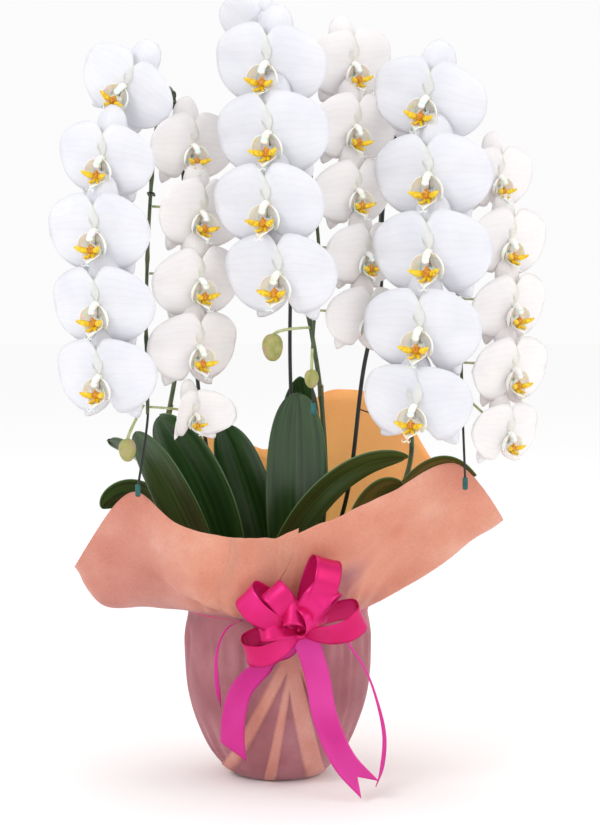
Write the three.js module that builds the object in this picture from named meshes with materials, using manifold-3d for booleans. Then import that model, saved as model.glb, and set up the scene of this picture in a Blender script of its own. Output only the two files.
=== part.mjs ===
// A gift orchid: three moth orchid plants in one round pot, each with an arching flower spike tied to a
// bent wire stake, the pot dressed in a flared square wrap with a ribbon bow at its neck.
// Millimetres, +Z up, the front faces -Y, and the origin is the middle of the base the pot stands on.
import * as THREE from "three";
import { mergeVertices } from "three/addons/utils/BufferGeometryUtils.js";
import Module from "manifold-3d";

const wasm = await Module();
wasm.setup();

// ---- Driving dimensions ----
const POT = {
  height: 160, baseRadius: 44, rimRadius: 92, rimLip: 1, rimHeight: 6, wall: 6, floor: 9, lift: 1.5, sides: 28,
};
const WALL_ROWS = [0.25, 0.5, 0.8]; // heights at which the pot's wall bends, as shares of its own
const MOSS = { top: 150, dome: 8, gap: 0.6, stakeDepth: 100, sides: 24 };
const WRAP = {
  thickness: 1, baseRadius: 46, neckRadius: 99, neckHeight: 186, sides: 40, flareRows: 4,
};
const CROWN = { radius: 9, height: 30 };
const SPIKE = { radius: 3, sides: 6, steps: 32 };
const STAKE = {
  radius: 1.9, sides: 5, steps: 36, capRadius: 2.8, capLength: 13, clearance: 7.2, points: 14,
};
const PEDICEL = { radius: 1.5, sides: 4, steps: 3 };
const BLOSSOM = { thickness: 1.6, outlinePoints: 18, throat: 0.12, reflex: 0.28, nod: 12, stalkRun: 14 };
const LIP = { inner: 0.05, outer: 0.1, length: 0.16, drop: 0.11, forward: 0.05, sides: 5 }; // of the span
const RIBBON = { width: 28, tailWidth: 26, thickness: 0.9, curlWidth: 4 };
const GAP = 0.6; // between pieces that touch

const COLOURS = {
  pot: { color: 0xf2efe8, roughness: 0.25, metalness: 0 },
  moss: { color: 0x8d7b4f, roughness: 0.95, metalness: 0 },
  wrap: { color: 0xcf8a78, roughness: 0.8, metalness: 0 },
  ribbon: { color: 0xd3187c, roughness: 0.35, metalness: 0 },
  stake: { color: 0x1c221e, roughness: 0.45, metalness: 0 },
  stem: { color: 0x4c6132, roughness: 0.5, metalness: 0 },
  leaf: { color: 0x22421f, roughness: 0.4, metalness: 0 },
  bud: { color: 0xa9ad5c, roughness: 0.5, metalness: 0 },
  petal: { color: 0xf7f5f4, roughness: 0.55, metalness: 0 },
};

const rad = THREE.MathUtils.degToRad;
const vec = (x, y, z) => new THREE.Vector3(x, y, z);

// ---- Solids ----

// A three.js geometry as a manifold-3d solid.
function solidOf(geometry) {
  const bare = geometry.index ? geometry.toNonIndexed() : geometry.clone();
  bare.deleteAttribute("normal");
  bare.deleteAttribute("uv");
  const merged = mergeVertices(bare, 1e-3);
  return new wasm.Manifold(
    new wasm.Mesh({
      numProp: 3,
      vertProperties: merged.attributes.position.array,
      triVerts: new Uint32Array(merged.index.array),
    }),
  );
}

// A manifold-3d solid back as a three.js geometry.
function geometryOf(solid) {
  const mesh = solid.getMesh();
  const places = new Float32Array(mesh.numVert * 3);
  for (let i = 0; i < mesh.numVert; i++) {
    places.set(mesh.vertProperties.subarray(i * mesh.numProp, i * mesh.numProp + 3), i * 3);
  }
  const geometry = new THREE.BufferGeometry();
  geometry.setAttribute("position", new THREE.BufferAttribute(places, 3));
  geometry.setIndex(new THREE.BufferAttribute(mesh.triVerts, 1));
  geometry.computeVertexNormals();
  return geometry;
}

const joined = (geometries) => geometryOf(geometries.map(solidOf).reduce((whole, next) => whole.add(next)));
const cut = (geometry, tools) =>
  geometryOf(tools.map(solidOf).reduce((rest, tool) => rest.subtract(tool), solidOf(geometry)));

// Moves every vertex of a geometry to place(x, y, z, index).
function reshaped(geometry, place) {
  const at = geometry.attributes.position;
  for (let i = 0; i < at.count; i++) {
    const p = place(at.getX(i), at.getY(i), at.getZ(i), i);
    at.setXYZ(i, p.x, p.y, p.z);
  }
  geometry.computeVertexNormals();
  return geometry;
}

// A round bar along a curve.
function tube(curve, radius, sides, steps) {
  const corners = new THREE.EllipseCurve(0, 0, radius, radius).getPoints(sides).slice(0, sides);
  return new THREE.ExtrudeGeometry(new THREE.Shape(corners), { steps, bevelEnabled: false, extrudePath: curve });
}

// A flat strap whose middle line follows a curve: its width lies along across, and widthAt(t) scales it.
function strap(curve, width, thickness, steps, across, widthAt = () => 1) {
  const box = new THREE.BoxGeometry(1, 1, 1, steps, 1, 1);
  return reshaped(box, (x, y, z) => {
    const t = x + 0.5;
    const along = curve.getTangentAt(t);
    const side = across.clone().addScaledVector(along, -along.dot(across)).normalize();
    const face = vec(0, 0, 0).crossVectors(along, side);
    return curve
      .getPointAt(t)
      .addScaledVector(side, y * width * widthAt(t))
      .addScaledVector(face, z * thickness);
  });
}

function named(name, geometry, look) {
  const mesh = new THREE.Mesh(geometry, new THREE.MeshStandardMaterial(look));
  mesh.name = name;
  return mesh;
}

// ---- Pot and moss ----

// The height of the moss's highest point.
const mossTop = POT.lift + MOSS.top + MOSS.dome;

// The radius of the pot's outside at a height above its own base.
const potRadius = (h) => THREE.MathUtils.lerp(POT.baseRadius, POT.rimRadius, Math.sqrt(h / POT.height));

// The radius of the pot's inside where its wall meets its floor.
const floorRadius = potRadius(0.12 * POT.height) - POT.wall - 4;

function pot() {
  const { height, baseRadius, rimRadius, rimLip, rimHeight, wall, floor, sides } = POT;
  const rows = [0.1, ...WALL_ROWS];
  const outside = rows.map((k) => new THREE.Vector2(potRadius(k * height), k * height));
  const inside = WALL_ROWS.map((k) => new THREE.Vector2(potRadius(k * height) - wall, k * height));
  const profile = [
    new THREE.Vector2(0, 0),
    new THREE.Vector2(baseRadius, 0),
    ...outside,
    new THREE.Vector2(rimRadius + rimLip, height - rimHeight),
    new THREE.Vector2(rimRadius + rimLip, height),
    new THREE.Vector2(rimRadius - wall, height),
    ...inside.reverse(),
    new THREE.Vector2(floorRadius, floor),
    new THREE.Vector2(0, floor),
  ];
  const mesh = named("pot", new THREE.LatheGeometry(profile, sides), COLOURS.pot);
  mesh.geometry.rotateX(Math.PI / 2);
  mesh.position.z = POT.lift;
  return mesh;
}

// The moss fills the pot to just under its rim and takes the three stakes.
function moss(stakeFeet) {
  const { top, dome, gap, stakeDepth, sides } = MOSS;
  const wallGap = gap + 0.5; // the facets of the pot's inside come closer than its corners
  const rows = WALL_ROWS.map((k) => {
    const h = k * POT.height;
    return new THREE.Vector2(potRadius(h) - POT.wall - wallGap, h);
  });
  const shoulder = rows[rows.length - 1].x;
  const profile = [
    new THREE.Vector2(0, POT.floor + gap),
    new THREE.Vector2(floorRadius - 1, POT.floor + gap),
    ...rows,
    new THREE.Vector2(shoulder + 1.5, top - 4),
    new THREE.Vector2(shoulder - 8, top + dome * 0.4),
    new THREE.Vector2(shoulder * 0.5, top + dome),
    new THREE.Vector2(0, top + dome),
  ];
  const plug = new THREE.LatheGeometry(profile, sides);
  plug.rotateX(Math.PI / 2);
  const holes = stakeFeet.map((foot) => {
    const reach = stakeDepth + 2 * dome;
    const hole = new THREE.CylinderGeometry(STAKE.radius + 1, STAKE.radius + 1, reach, 8);
    hole.rotateX(Math.PI / 2);
    return hole.translate(foot.x, foot.y, top - stakeDepth - gap + reach / 2);
  });
  const mesh = named("moss", cut(plug, holes), COLOURS.moss);
  mesh.position.z = POT.lift;
  return mesh;
}

// ---- Wrap ----

// The edge of the wrap, going round from the front by the left: bearing, distance out and height.
const WRAP_EDGE = [
  { bearing: 0, out: 125, height: 271 },
  { bearing: 38, out: 158, height: 286 },
  { bearing: 56, out: 180, height: 321 },
  { bearing: 77, out: 223, height: 235 },
  { bearing: 106, out: 176, height: 266 },
  { bearing: 147, out: 158, height: 372 },
  { bearing: 173, out: 134, height: 338 },
  { bearing: 202, out: 164, height: 404 },
  { bearing: 221, out: 189, height: 396 },
  { bearing: 242, out: 202, height: 326 },
  { bearing: 264, out: 214, height: 284 },
  { bearing: 284, out: 248, height: 286 },
  { bearing: 297, out: 207, height: 350 },
  { bearing: 314, out: 166, height: 322 },
  { bearing: 334, out: 141, height: 297 },
];

// Distance out and height of the wrap's edge at a bearing in degrees, rounded smoothly between its points.
const edgeCurve = new THREE.CatmullRomCurve3(
  WRAP_EDGE.map(({ bearing, out, height }) => vec(bearing, out, height)).concat(
    vec(360, WRAP_EDGE[0].out, WRAP_EDGE[0].height),
  ),
);
const edgePoints = edgeCurve.getPoints(240);
function wrapEdge(anyBearing) {
  const bearing = THREE.MathUtils.euclideanModulo(anyBearing, 360);
  const next = edgePoints.findIndex((p) => p.x >= bearing - 1e-6);
  const b = edgePoints[Math.max(next, 1)];
  const a = edgePoints[Math.max(next, 1) - 1];
  const k = THREE.MathUtils.clamp((bearing - a.x) / (b.x - a.x), 0, 1);
  return { out: THREE.MathUtils.lerp(a.y, b.y, k), height: THREE.MathUtils.lerp(a.z, b.z, k) };
}

const WRAP_BODY = [
  [0, 0],
  [WRAP.baseRadius, 0],
  [72, 27],
  [89, 62],
  [100, 112],
  [WRAP.neckRadius, WRAP.neckHeight],
];

// The flare's left side runs out low before it bends up, and its right side climbs straight.
const KNEE = { left: { share: 0.66, rise: 2 }, right: { share: 0.5, climb: 0.4 } };

// Where the flare bends up at a bearing: its share of the way out, and its height over the neck.
function wrapKnee(bearing, height) {
  const left = THREE.MathUtils.smoothstep(0.5 + 0.5 * Math.sin(rad(bearing)), 0, 1);
  const climb = KNEE.right.climb * (height - WRAP.neckHeight);
  return {
    share: THREE.MathUtils.lerp(KNEE.right.share, KNEE.left.share, left),
    rise: THREE.MathUtils.lerp(climb, KNEE.left.rise, left),
  };
}

// A point of the wrap at a bearing and row; rows past the body climb the flare from the neck to the edge.
function wrapPoint(bearing, row) {
  const turn = rad(bearing);
  const outward = vec(-Math.sin(turn), -Math.cos(turn), 0);
  const body = WRAP_BODY[Math.min(row, WRAP_BODY.length - 1)];
  if (row < WRAP_BODY.length) return outward.multiplyScalar(body[0]).setZ(body[1]);
  const { out, height } = wrapEdge(bearing);
  const t = (row - WRAP_BODY.length + 1) / WRAP.flareRows;
  const { share, rise } = wrapKnee(bearing, height);
  const kneeRadius = THREE.MathUtils.lerp(WRAP.neckRadius, out, share);
  const neck = outward.clone().multiplyScalar(WRAP.neckRadius).setZ(WRAP.neckHeight);
  const knee = outward.clone().multiplyScalar(kneeRadius).setZ(WRAP.neckHeight + rise);
  const edge = outward.clone().multiplyScalar(out).setZ(height);
  return new THREE.QuadraticBezierCurve3(neck, knee, edge).getPoint(t);
}

// Turns the diagonal of every square of a lathed shape from a place in its profile on, so that the two faces
// of a sheet bend along the same lines and never meet.
function turnDiagonals(lathed, profileLength, from) {
  const corners = lathed.index.array;
  for (let at = 0; at < corners.length; at += 6) {
    if ((at / 6) % (profileLength - 1) < from) continue;
    const [a, b, d, c] = corners.slice(at, at + 4);
    corners.set([a, b, c, a, c, d], at);
  }
}

// The outside of the wrap, and its inside one thickness in from it.
function wrap() {
  const rows = WRAP_BODY.length + WRAP.flareRows;
  const turn = 360 / WRAP.sides;
  const profile = [];
  for (let row = 0; row < rows; row++) profile.push(new THREE.Vector2(row, 0));
  for (let row = rows - 1; row >= 0; row--) profile.push(new THREE.Vector2(row, 1));
  const sheet = new THREE.LatheGeometry(profile, WRAP.sides);
  turnDiagonals(sheet, profile.length, rows);
  const shaped = reshaped(sheet, (x, y, z, i) => {
    const bearing = (Math.floor(i / profile.length) % WRAP.sides) * turn;
    const inner = i % profile.length < rows;
    const row = inner ? i % profile.length : 2 * rows - 1 - (i % profile.length);
    const place = wrapPoint(bearing, row);
    if (!inner) return place;
    const onBase = row <= 1;
    if (onBase) return place.multiplyScalar(1 - WRAP.thickness / WRAP.baseRadius).setZ(WRAP.thickness);
    const climb = wrapPoint(bearing, Math.min(row + 1, rows - 1)).sub(wrapPoint(bearing, row - 1));
    const round = wrapPoint(bearing + turn, row).sub(wrapPoint(bearing - turn, row));
    return place.addScaledVector(round.cross(climb).normalize(), WRAP.thickness);
  });
  return named("wrap", geometryOf(solidOf(shaped)), COLOURS.wrap);
}

// ---- Spikes and stakes ----

// Each plant: where its crown stands, the way its spike climbs, arches over and hangs, and its stake's foot.
const PLANTS = {
  left: {
    crown: vec(-40, 2, 0),
    path: [
      [-46, 12, 196], [-84, 30, 270], [-122, 38, 350], [-112, 36, 440], [-100, 32, 560], [-104, 18, 680],
      [-114, -26, 742], [-124, -76, 706], [-131, -98, 620], [-135, -106, 510], [-134, -110, 402],
    ],
    stakeFoot: vec(-38, 34, 0),
    stakeRun: [[-70, 44, 300], [-90, 36, 440]],
    stakeEnd: [-10, -13, -76],
    joins: 4,
  },
  centre: {
    crown: vec(12, 22, 0),
    path: [
      [26, 34, 196], [50, 40, 290], [48, 40, 400], [32, 40, 512], [16, 36, 640], [14, 16, 742],
      [16, -28, 790], [24, -76, 752], [34, -98, 660], [44, -106, 560], [38, -108, 490], [36, -110, 452],
    ],
    stakeFoot: vec(32, 48, 0),
    stakeRun: [[19, 50, 320], [13, 50, 450]],
    stakeEnd: [2, -2, -42],
    joins: 4,
  },
  right: {
    crown: vec(50, -4, 0),
    path: [
      [64, 8, 196], [112, 22, 262], [146, 28, 345], [134, 32, 430], [112, 34, 530], [116, 26, 640],
      [138, -18, 728], [160, -74, 696], [178, -98, 610], [188, -106, 510], [192, -110, 424],
    ],
    stakeFoot: vec(38, 42, 0),
    stakeRun: [[76, 42, 300], [94, 42, 440]],
    stakeEnd: [4, -2, -92],
    joins: 4,
  },
};

const spikeCurve = (plant) =>
  new THREE.CatmullRomCurve3([
    plant.crown.clone().setZ(mossTop + CROWN.height * 0.6),
    ...plant.path.map((p) => vec(...p)),
  ]);

// The point of a curve's falling part at a height.
function pointAtHeight(curve, height) {
  const points = curve.getSpacedPoints(400);
  const apex = points.reduce((best, p, i) => (p.z > points[best].z ? i : best), 0);
  const i = points.findIndex((p, n) => n > apex && p.z <= height);
  return points[i < 0 ? points.length - 1 : i];
}

// The short stem that carries the leaves, with the flower spike growing out of it.
function spike(name, plant) {
  const stub = new THREE.CylinderGeometry(CROWN.radius * 0.7, CROWN.radius, CROWN.height, 10);
  stub.rotateX(Math.PI / 2);
  stub.translate(plant.crown.x, plant.crown.y, mossTop + GAP + CROWN.height / 2);
  const stem = tube(spikeCurve(plant), SPIKE.radius, SPIKE.sides, SPIKE.steps);
  return named(`spike_${name}`, joined([stub, stem]), COLOURS.stem);
}

// The stake climbs out of the moss, meets the spike and runs inside its arch, past its tip, to a capped end.
function stakeCurve(plant) {
  const bend = new THREE.CatmullRomCurve3(plant.path.slice(plant.joins).map((p) => vec(...p)));
  const beside = [];
  for (let i = 0; i <= STAKE.points; i++) {
    const t = i / STAKE.points;
    const along = bend.getTangentAt(t);
    const inward = vec(0, -along.z, along.y).normalize();
    beside.push(bend.getPointAt(t).addScaledVector(inward, STAKE.clearance));
  }
  const last = beside[beside.length - 1];
  const foot = plant.stakeFoot.clone();
  return new THREE.CatmullRomCurve3([
    foot.clone().setZ(mossTop - MOSS.dome - MOSS.stakeDepth),
    foot.clone().setZ(mossTop - MOSS.stakeDepth / 2),
    foot.clone().setZ(mossTop),
    foot.clone().setZ(mossTop + 12),
    ...plant.stakeRun.map((p) => vec(...p)),
    ...beside,
    last.clone().add(vec(...plant.stakeEnd)),
  ]);
}

function stake(name, plant) {
  const curve = stakeCurve(plant);
  const rod = tube(curve, STAKE.radius, STAKE.sides, STAKE.steps);
  const end = curve.getPointAt(1);
  const cap = new THREE.CylinderGeometry(STAKE.capRadius, STAKE.capRadius * 0.8, STAKE.capLength, 8);
  cap.rotateX(Math.PI / 2);
  cap.translate(end.x, end.y, end.z - STAKE.capLength / 2 + 4);
  return named(`stake_${name}`, joined([rod, cap]), COLOURS.stake);
}

// ---- Blossoms ----

// The five lobes of a blossom, each an oval through its middle: bearing from +X, length and half width.
const LOBES = [
  { angle: 9, length: 0.5, half: 0.31 },
  { angle: 171, length: 0.5, half: 0.31 },
  { angle: 90, length: 0.45, half: 0.18 },
  { angle: -57, length: 0.47, half: 0.165 },
  { angle: -123, length: 0.47, half: 0.165 },
];

// Reach of the blossom's outline at an angle, as a share of its span.
function outlineReach(angle) {
  const reaches = LOBES.map(({ angle: lobe, length, half }) => {
    const off = angle - rad(lobe);
    if (Math.cos(off) <= 0) return 0;
    return (length * Math.cos(off)) / (Math.cos(off) ** 2 + (length / 2 / half) ** 2 * Math.sin(off) ** 2);
  });
  return Math.max(BLOSSOM.throat, ...reaches);
}

// An open blossom facing local +Z with +Y up, its lip below the middle, and its stalk back to the spike.
function blossom(name, span, place, yaw, nod, root) {
  const mesh = named(name, new THREE.BufferGeometry(), COLOURS.petal);
  mesh.position.copy(place);
  mesh.rotation.set(Math.PI / 2, 0, 0);
  mesh.rotateOnWorldAxis(vec(1, 0, 0), rad(nod));
  mesh.rotateOnWorldAxis(vec(0, 0, 1), rad(yaw));
  mesh.updateMatrixWorld();
  const disc = new THREE.CylinderGeometry(1, 1, 1, BLOSSOM.outlinePoints, 1);
  disc.rotateX(Math.PI / 2);
  const blades = reshaped(disc, (x, y, z) => {
    const reach = Math.hypot(x, y) < 1e-6 ? 0 : outlineReach(Math.atan2(y, x)) * span;
    const out = vec(x, y, 0).multiplyScalar(reach);
    return out.setZ(z * BLOSSOM.thickness - BLOSSOM.reflex * Math.abs(out.x));
  });
  const lip = new THREE.CylinderGeometry(LIP.inner * span, LIP.outer * span, LIP.length * span, LIP.sides);
  lip.rotateX(Math.PI / 2).translate(0, -LIP.drop * span, LIP.forward * span);
  const back = mesh.worldToLocal(root.clone());
  const stalk = new THREE.CubicBezierCurve3(
    vec(0, 0, 0.5),
    vec(0, 0, -BLOSSOM.stalkRun),
    back.clone().multiplyScalar(0.6).setZ(Math.min(back.z * 0.8, -BLOSSOM.stalkRun)),
    back,
  );
  mesh.geometry = joined([blades, lip, tube(stalk, PEDICEL.radius, PEDICEL.sides, PEDICEL.steps)]);
  return mesh;
}

// The two ranks of blossoms on each spike, from the top down, and the small one on the centre spike's crest.
// side: -1 faces left, +1 faces right. top: height of the first; step: to the next; then, for each blossom,
// its span, its distance out from the spike to its side, and how far forward of the axis it stands.
const RANKS = {
  left: [
    { side: -1, top: 740, step: 74, yaw: -27, span: [98, 100, 106, 106, 102], out: [34, 50, 52, 48, 46],
      forward: [112, 132, 144, 148, 148] },
    { side: 1, top: 680, step: 69, yaw: 36, span: [94, 96, 98, 98, 66], out: [40, 54, 56, 55, 50],
      forward: [92, 108, 116, 118, 122] },
  ],
  centre: [
    { side: -1, top: 762, step: 71, yaw: -26, span: [112, 112, 112, 112], out: [32, 38, 48, 42],
      forward: [124, 140, 148, 150] },
    { side: 1, top: 764, step: 65, yaw: 34, span: [94, 94, 92, 88, 84], out: [58, 52, 47, 50, 54],
      forward: [88, 104, 112, 112, 112] },
  ],
  right: [
    { side: -1, top: 727, step: 78, yaw: -24, span: [110, 114, 116, 114, 106], out: [4, 16, 28, 44, 52],
      forward: [128, 146, 158, 162, 162] },
    { side: 1, top: 648, step: 66, yaw: 38, span: [86, 94, 94, 94, 82], out: [60, 60, 58, 54, 48],
      forward: [96, 108, 116, 120, 124] },
  ],
};
const CREST = { span: 74, place: vec(-27, -88, 798), yaw: -44, nod: 6, rootHeight: 778 };
const STALK_DROP = { above: 6, fromApex: 24 };

function blossoms(name, plant) {
  const curve = spikeCurve(plant);
  const apex = Math.max(...curve.getSpacedPoints(200).map((p) => p.z));
  const ranks = RANKS[name].flatMap(({ side, top, step, yaw, span, out, forward }) =>
    span.map((width, i) => {
      const height = top - i * step;
      const root = pointAtHeight(curve, Math.min(height + STALK_DROP.above, apex - STALK_DROP.fromApex));
      const place = vec(root.x + side * out[i], -forward[i], height);
      const rank = side < 0 ? "l" : "r";
      return blossom(`blossom_${name}_${rank}${i + 1}`, width, place, yaw, BLOSSOM.nod, beside(root, place));
    }),
  );
  if (name !== "centre") return ranks;
  const root = pointAtHeight(curve, CREST.rootHeight);
  const stalkRoot = beside(root, CREST.place);
  return [blossom("blossom_centre_top", CREST.span, CREST.place, CREST.yaw, CREST.nod, stalkRoot), ...ranks];
}

// Where a stalk going to a place starts, just off the spike's surface at root.
function beside(root, place) {
  const toward = place.clone().sub(root).normalize();
  return root.clone().addScaledVector(toward, SPIKE.radius + PEDICEL.radius + GAP);
}

// An unopened bud on its stalk.
const BUDS = [
  { name: "bud_left", plant: "left", height: 412, place: vec(-154, -122, 366), size: 10.5 },
  { name: "bud_centre_upper", plant: "centre", height: 492, place: vec(-4, -120, 472), size: 12.5 },
  { name: "bud_centre_lower", plant: "centre", height: 470, place: vec(36, -126, 440), size: 8.5 },
];

function bud({ name, plant, height, place, size }) {
  const root = pointAtHeight(spikeCurve(PLANTS[plant]), height);
  const top = place.clone().add(vec(0, 0, size * 0.9));
  const start = beside(root, vec(top.x, top.y, root.z));
  const stalk = new THREE.QuadraticBezierCurve3(start, top.clone().add(vec(0, 0, 8)), top);
  const egg = new THREE.SphereGeometry(1, 9, 7);
  egg.rotateX(Math.PI / 2);
  egg.scale(size * 0.86, size * 0.86, size * 1.15).translate(place.x, place.y, place.z);
  return named(name, joined([egg, tube(stalk, PEDICEL.radius, PEDICEL.sides, PEDICEL.steps)]), COLOURS.bud);
}

// ---- Leaves ----

// A leaf rises from its crown at from, arches under over and ends at tip; side is the way its width lies.
const LEAVES = [
  {
    name: "leaf_left_1", width: 50,
    from: [-57, -7, 164], over: [-94, -48, 300], tip: [-150, -68, 380], side: [0.75, -0.5, 0.45],
  },
  {
    name: "leaf_left_2", width: 68,
    from: [-41, -12, 170], over: [-66, -12, 312], tip: [-128, -22, 393], side: [0.88, -0.35, 0.32],
  },
  {
    name: "leaf_left_3", width: 44,
    from: [-56, 18, 162], over: [-130, 52, 344], tip: [-188, 42, 360], side: [-0.4, -0.6, 0.7],
  },
  {
    name: "leaf_left_4", width: 50,
    from: [-59, 6, 161], over: [-130, -18, 352], tip: [-189, -22, 294], side: [-0.4, -0.6, 0.7],
  },
  {
    name: "leaf_left_5", width: 28,
    from: [-44, 28, 162], over: [-112, 80, 322], tip: [-156, 74, 344], side: [-0.4, -0.6, 0.7],
  },
  {
    name: "leaf_left_6", width: 34,
    from: [-30, -11, 166], over: [36, -64, 362], tip: [138, -58, 353], side: [-0.55, -0.45, 0.7],
  },
  {
    name: "leaf_centre_1", width: 66,
    from: [17, 6, 166], over: [21, -10, 300], tip: [21, -4, 417], side: [1, 0, 0],
  },
  {
    name: "leaf_centre_2", width: 58,
    from: [-4, 15, 166], over: [-20, 16, 290], tip: [-60, 16, 380], side: [0.95, -0.25, 0.1],
  },
  {
    name: "leaf_centre_3", width: 52,
    from: [6, 42, 168], over: [22, 112, 330], tip: [26, 76, 428], side: [1, 0, 0],
  },
  {
    name: "leaf_centre_4", width: 54,
    from: [-12, 34, 162], over: [-34, 74, 300], tip: [-56, 96, 350], side: [1, 0.5, 0],
  },
  {
    name: "leaf_right_1", width: 48,
    from: [58, -19, 163], over: [90, -46, 342], tip: [136, -50, 320], side: [-0.4, -0.6, 0.7],
  },
  {
    name: "leaf_right_2", width: 38,
    from: [64, -5, 162], over: [150, -14, 392], tip: [213, -26, 330], side: [-0.4, -0.65, 0.65],
  },
  {
    name: "leaf_right_3", width: 50,
    from: [62, 5, 160], over: [130, 50, 246], tip: [176, 62, 294], side: [-0.4, 1, 0.1],
  },
];

// A blade's foot is this share of its full width, and full width comes this share of the way up.
const BLADE = { foot: 0.2, fullAt: 0.59, trough: 0.26, footThickness: 4, tipThickness: 2 };

// Half the width of a leaf at t, from its foot at 0 to its round tip at 1, as a share of half its full width.
function bladeShape(t) {
  const swell = Math.sin(Math.min(t / BLADE.fullAt, 1) * Math.PI * 0.5);
  return THREE.MathUtils.lerp(BLADE.foot, 1, swell) * Math.sqrt(1 - 0.9 * t ** 8);
}

function leaf({ name, from, over, tip, side, width }) {
  const spine = new THREE.QuadraticBezierCurve3(vec(...from), vec(...over), vec(...tip));
  const blade = new THREE.BoxGeometry(1, 1, 1, 9, 2, 1);
  const facing = (t) => vec(0, 0, 0).crossVectors(spine.getTangent(t), vec(...side));
  const front = facing(0.5).dot(vec(0, -0.6, 1)) < 0 ? -1 : 1;
  reshaped(blade, (x, y, z) => {
    const t = x + 0.5;
    const along = spine.getTangent(t);
    const across = vec(...side).addScaledVector(along, -along.dot(vec(...side))).normalize();
    const up = vec(0, 0, 0).crossVectors(along, across);
    const reach = y * width * bladeShape(t);
    const thickness = THREE.MathUtils.lerp(BLADE.footThickness, BLADE.tipThickness, t);
    const trough = Math.abs(reach) * BLADE.trough * (1 - 0.5 * t) * front;
    return spine
      .getPoint(t)
      .addScaledVector(across, reach)
      .addScaledVector(up, z * thickness + trough);
  });
  return named(name, blade, COLOURS.leaf);
}

// ---- Ribbon ----

const KNOT = vec(23, -124, 180);
const BAND = { clearance: 1, thickness: 1.2, height: 5, sides: 30 };
// The bow's loops: the way each points from the knot (right, forward, up), its length, and how far it is
// twisted about its own way, in degrees.
const LOOPS = [
  { way: [0.36, 0.3, 0.88], length: 84, twist: 16 },
  { way: [0.44, 0.5, 0.72], length: 66, twist: -18 },
  { way: [0.92, 0.3, 0.22], length: 70, twist: 26 },
  { way: [-0.8, 0.34, 0.56], length: 72, twist: -20 },
  { way: [-0.5, 0.42, 0.78], length: 58, twist: 16 },
  { way: [-0.88, 0.3, -0.36], length: 62, twist: -28 },
  { way: [-0.86, 0.5, 0.06], length: 46, twist: 20 },
  { way: [0.34, 0.8, 0.55], length: 44, twist: 58 },
  { way: [-0.16, 0.82, 0.55], length: 42, twist: 74 },
];

// A loop's line from the knot out and back: shares of its length, and of its bulge to either side.
const LOOP_SHAPE = [[0, 0.12], [0.45, 0.75], [0.85, 0.8], [1, 0], [0.85, -0.8], [0.45, -0.75], [0, -0.12]];
const LOOP_BULGE = 0.3; // of its length
const LOOP_PINCH = 0.28; // the ribbon's width where it enters the knot, as a share of its full width

// A loop of ribbon that leaves the knot, turns over at its far end and comes back.
function loop({ way, length, twist }) {
  const out = vec(way[0], -way[1], way[2]).normalize();
  const side = vec(0, -1, 0).cross(out).normalize().applyAxisAngle(out, rad(twist));
  const up = vec(0, 0, 0).crossVectors(out, side);
  const bulge = length * LOOP_BULGE;
  const points = LOOP_SHAPE.map(([along, lift]) =>
    KNOT.clone().addScaledVector(out, along * length).addScaledVector(up, lift * bulge),
  );
  const pinch = (t) => THREE.MathUtils.lerp(LOOP_PINCH, 1, Math.sin(Math.PI * t));
  return strap(new THREE.CatmullRomCurve3(points), RIBBON.width, RIBBON.thickness, 7, side, pinch);
}

// The bow with its knot and the band that ties it round the wrap's neck.
function bow() {
  const knot = new THREE.SphereGeometry(1, 7, 4);
  knot.scale(14, 11, 14).translate(KNOT.x, KNOT.y, KNOT.z);
  const low = -BAND.height / 2;
  const inside = WRAP.neckRadius + BAND.clearance;
  const outside = inside + BAND.thickness;
  const section = [[inside, low], [outside, low], [outside, -low], [inside, -low], [inside, low]];
  const band = new THREE.LatheGeometry(section.map(([x, y]) => new THREE.Vector2(x, y)), BAND.sides);
  band.rotateX(Math.PI / 2).translate(0, 0, KNOT.z);
  const reach = -KNOT.y - Math.sqrt(inside ** 2 - KNOT.x ** 2) - BAND.thickness / 2;
  const tie = new THREE.CylinderGeometry(3, 3, reach, 6);
  tie.translate(KNOT.x, KNOT.y + reach / 2, KNOT.z);
  return named("bow", joined([knot, band, tie, ...LOOPS.map(loop)]), COLOURS.ribbon);
}

// The trailing ribbons, each a list of points down the front of the wrap.
const TAILS = [
  { name: "tail_left", width: RIBBON.tailWidth, across: vec(0.9, 0.2, 0.4),
    points: [
      [8, -116, 152], [-14, -117, 140], [-37, -117, 116], [-45, -114, 90], [-47, -110, 60], [-45, -106, 34],
    ] },
  { name: "tail_right", width: RIBBON.tailWidth, across: vec(0.9, 0.1, 0.45),
    points: [[32, -130, 166], [41, -126, 134], [51, -127, 84], [70, -132, 42], [97, -137, 13]] },
  { name: "curl_left", width: RIBBON.curlWidth, across: vec(1, 0.3, 0.3),
    points: [[-36, -129, 190], [-51, -129, 182], [-62, -122, 157], [-63, -114, 123], [-59, -110, 95]] },
  { name: "curl_right", width: RIBBON.curlWidth, across: vec(1, 0.5, 0.2),
    points: [
      [68, -128, 174], [92, -122, 136], [103, -118, 107], [112, -118, 65], [109, -120, 30], [103, -124, 13],
    ] },
];

function tail({ name, width, across, points }) {
  const curve = new THREE.CatmullRomCurve3(points.map((p) => vec(...p)));
  return named(name, strap(curve, width, RIBBON.thickness, 14, across), COLOURS.ribbon);
}

// ---- The whole plant ----

const orchid = new THREE.Group();
orchid.add(pot(), moss(Object.values(PLANTS).map((plant) => plant.stakeFoot)), wrap());
for (const [name, plant] of Object.entries(PLANTS)) {
  orchid.add(spike(name, plant), stake(name, plant), ...blossoms(name, plant));
}
orchid.add(...BUDS.map(bud), ...LEAVES.map(leaf), bow(), ...TAILS.map(tail));

export default orchid;
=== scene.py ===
"""A gift orchid: three moth orchid plants in one wrapped pot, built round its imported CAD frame.

Metres, +Z up, the front faces -Y, and the origin is the middle of the base the pot stands on. Sizes are
written in millimetres and turned to metres where they are used.
"""

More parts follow.
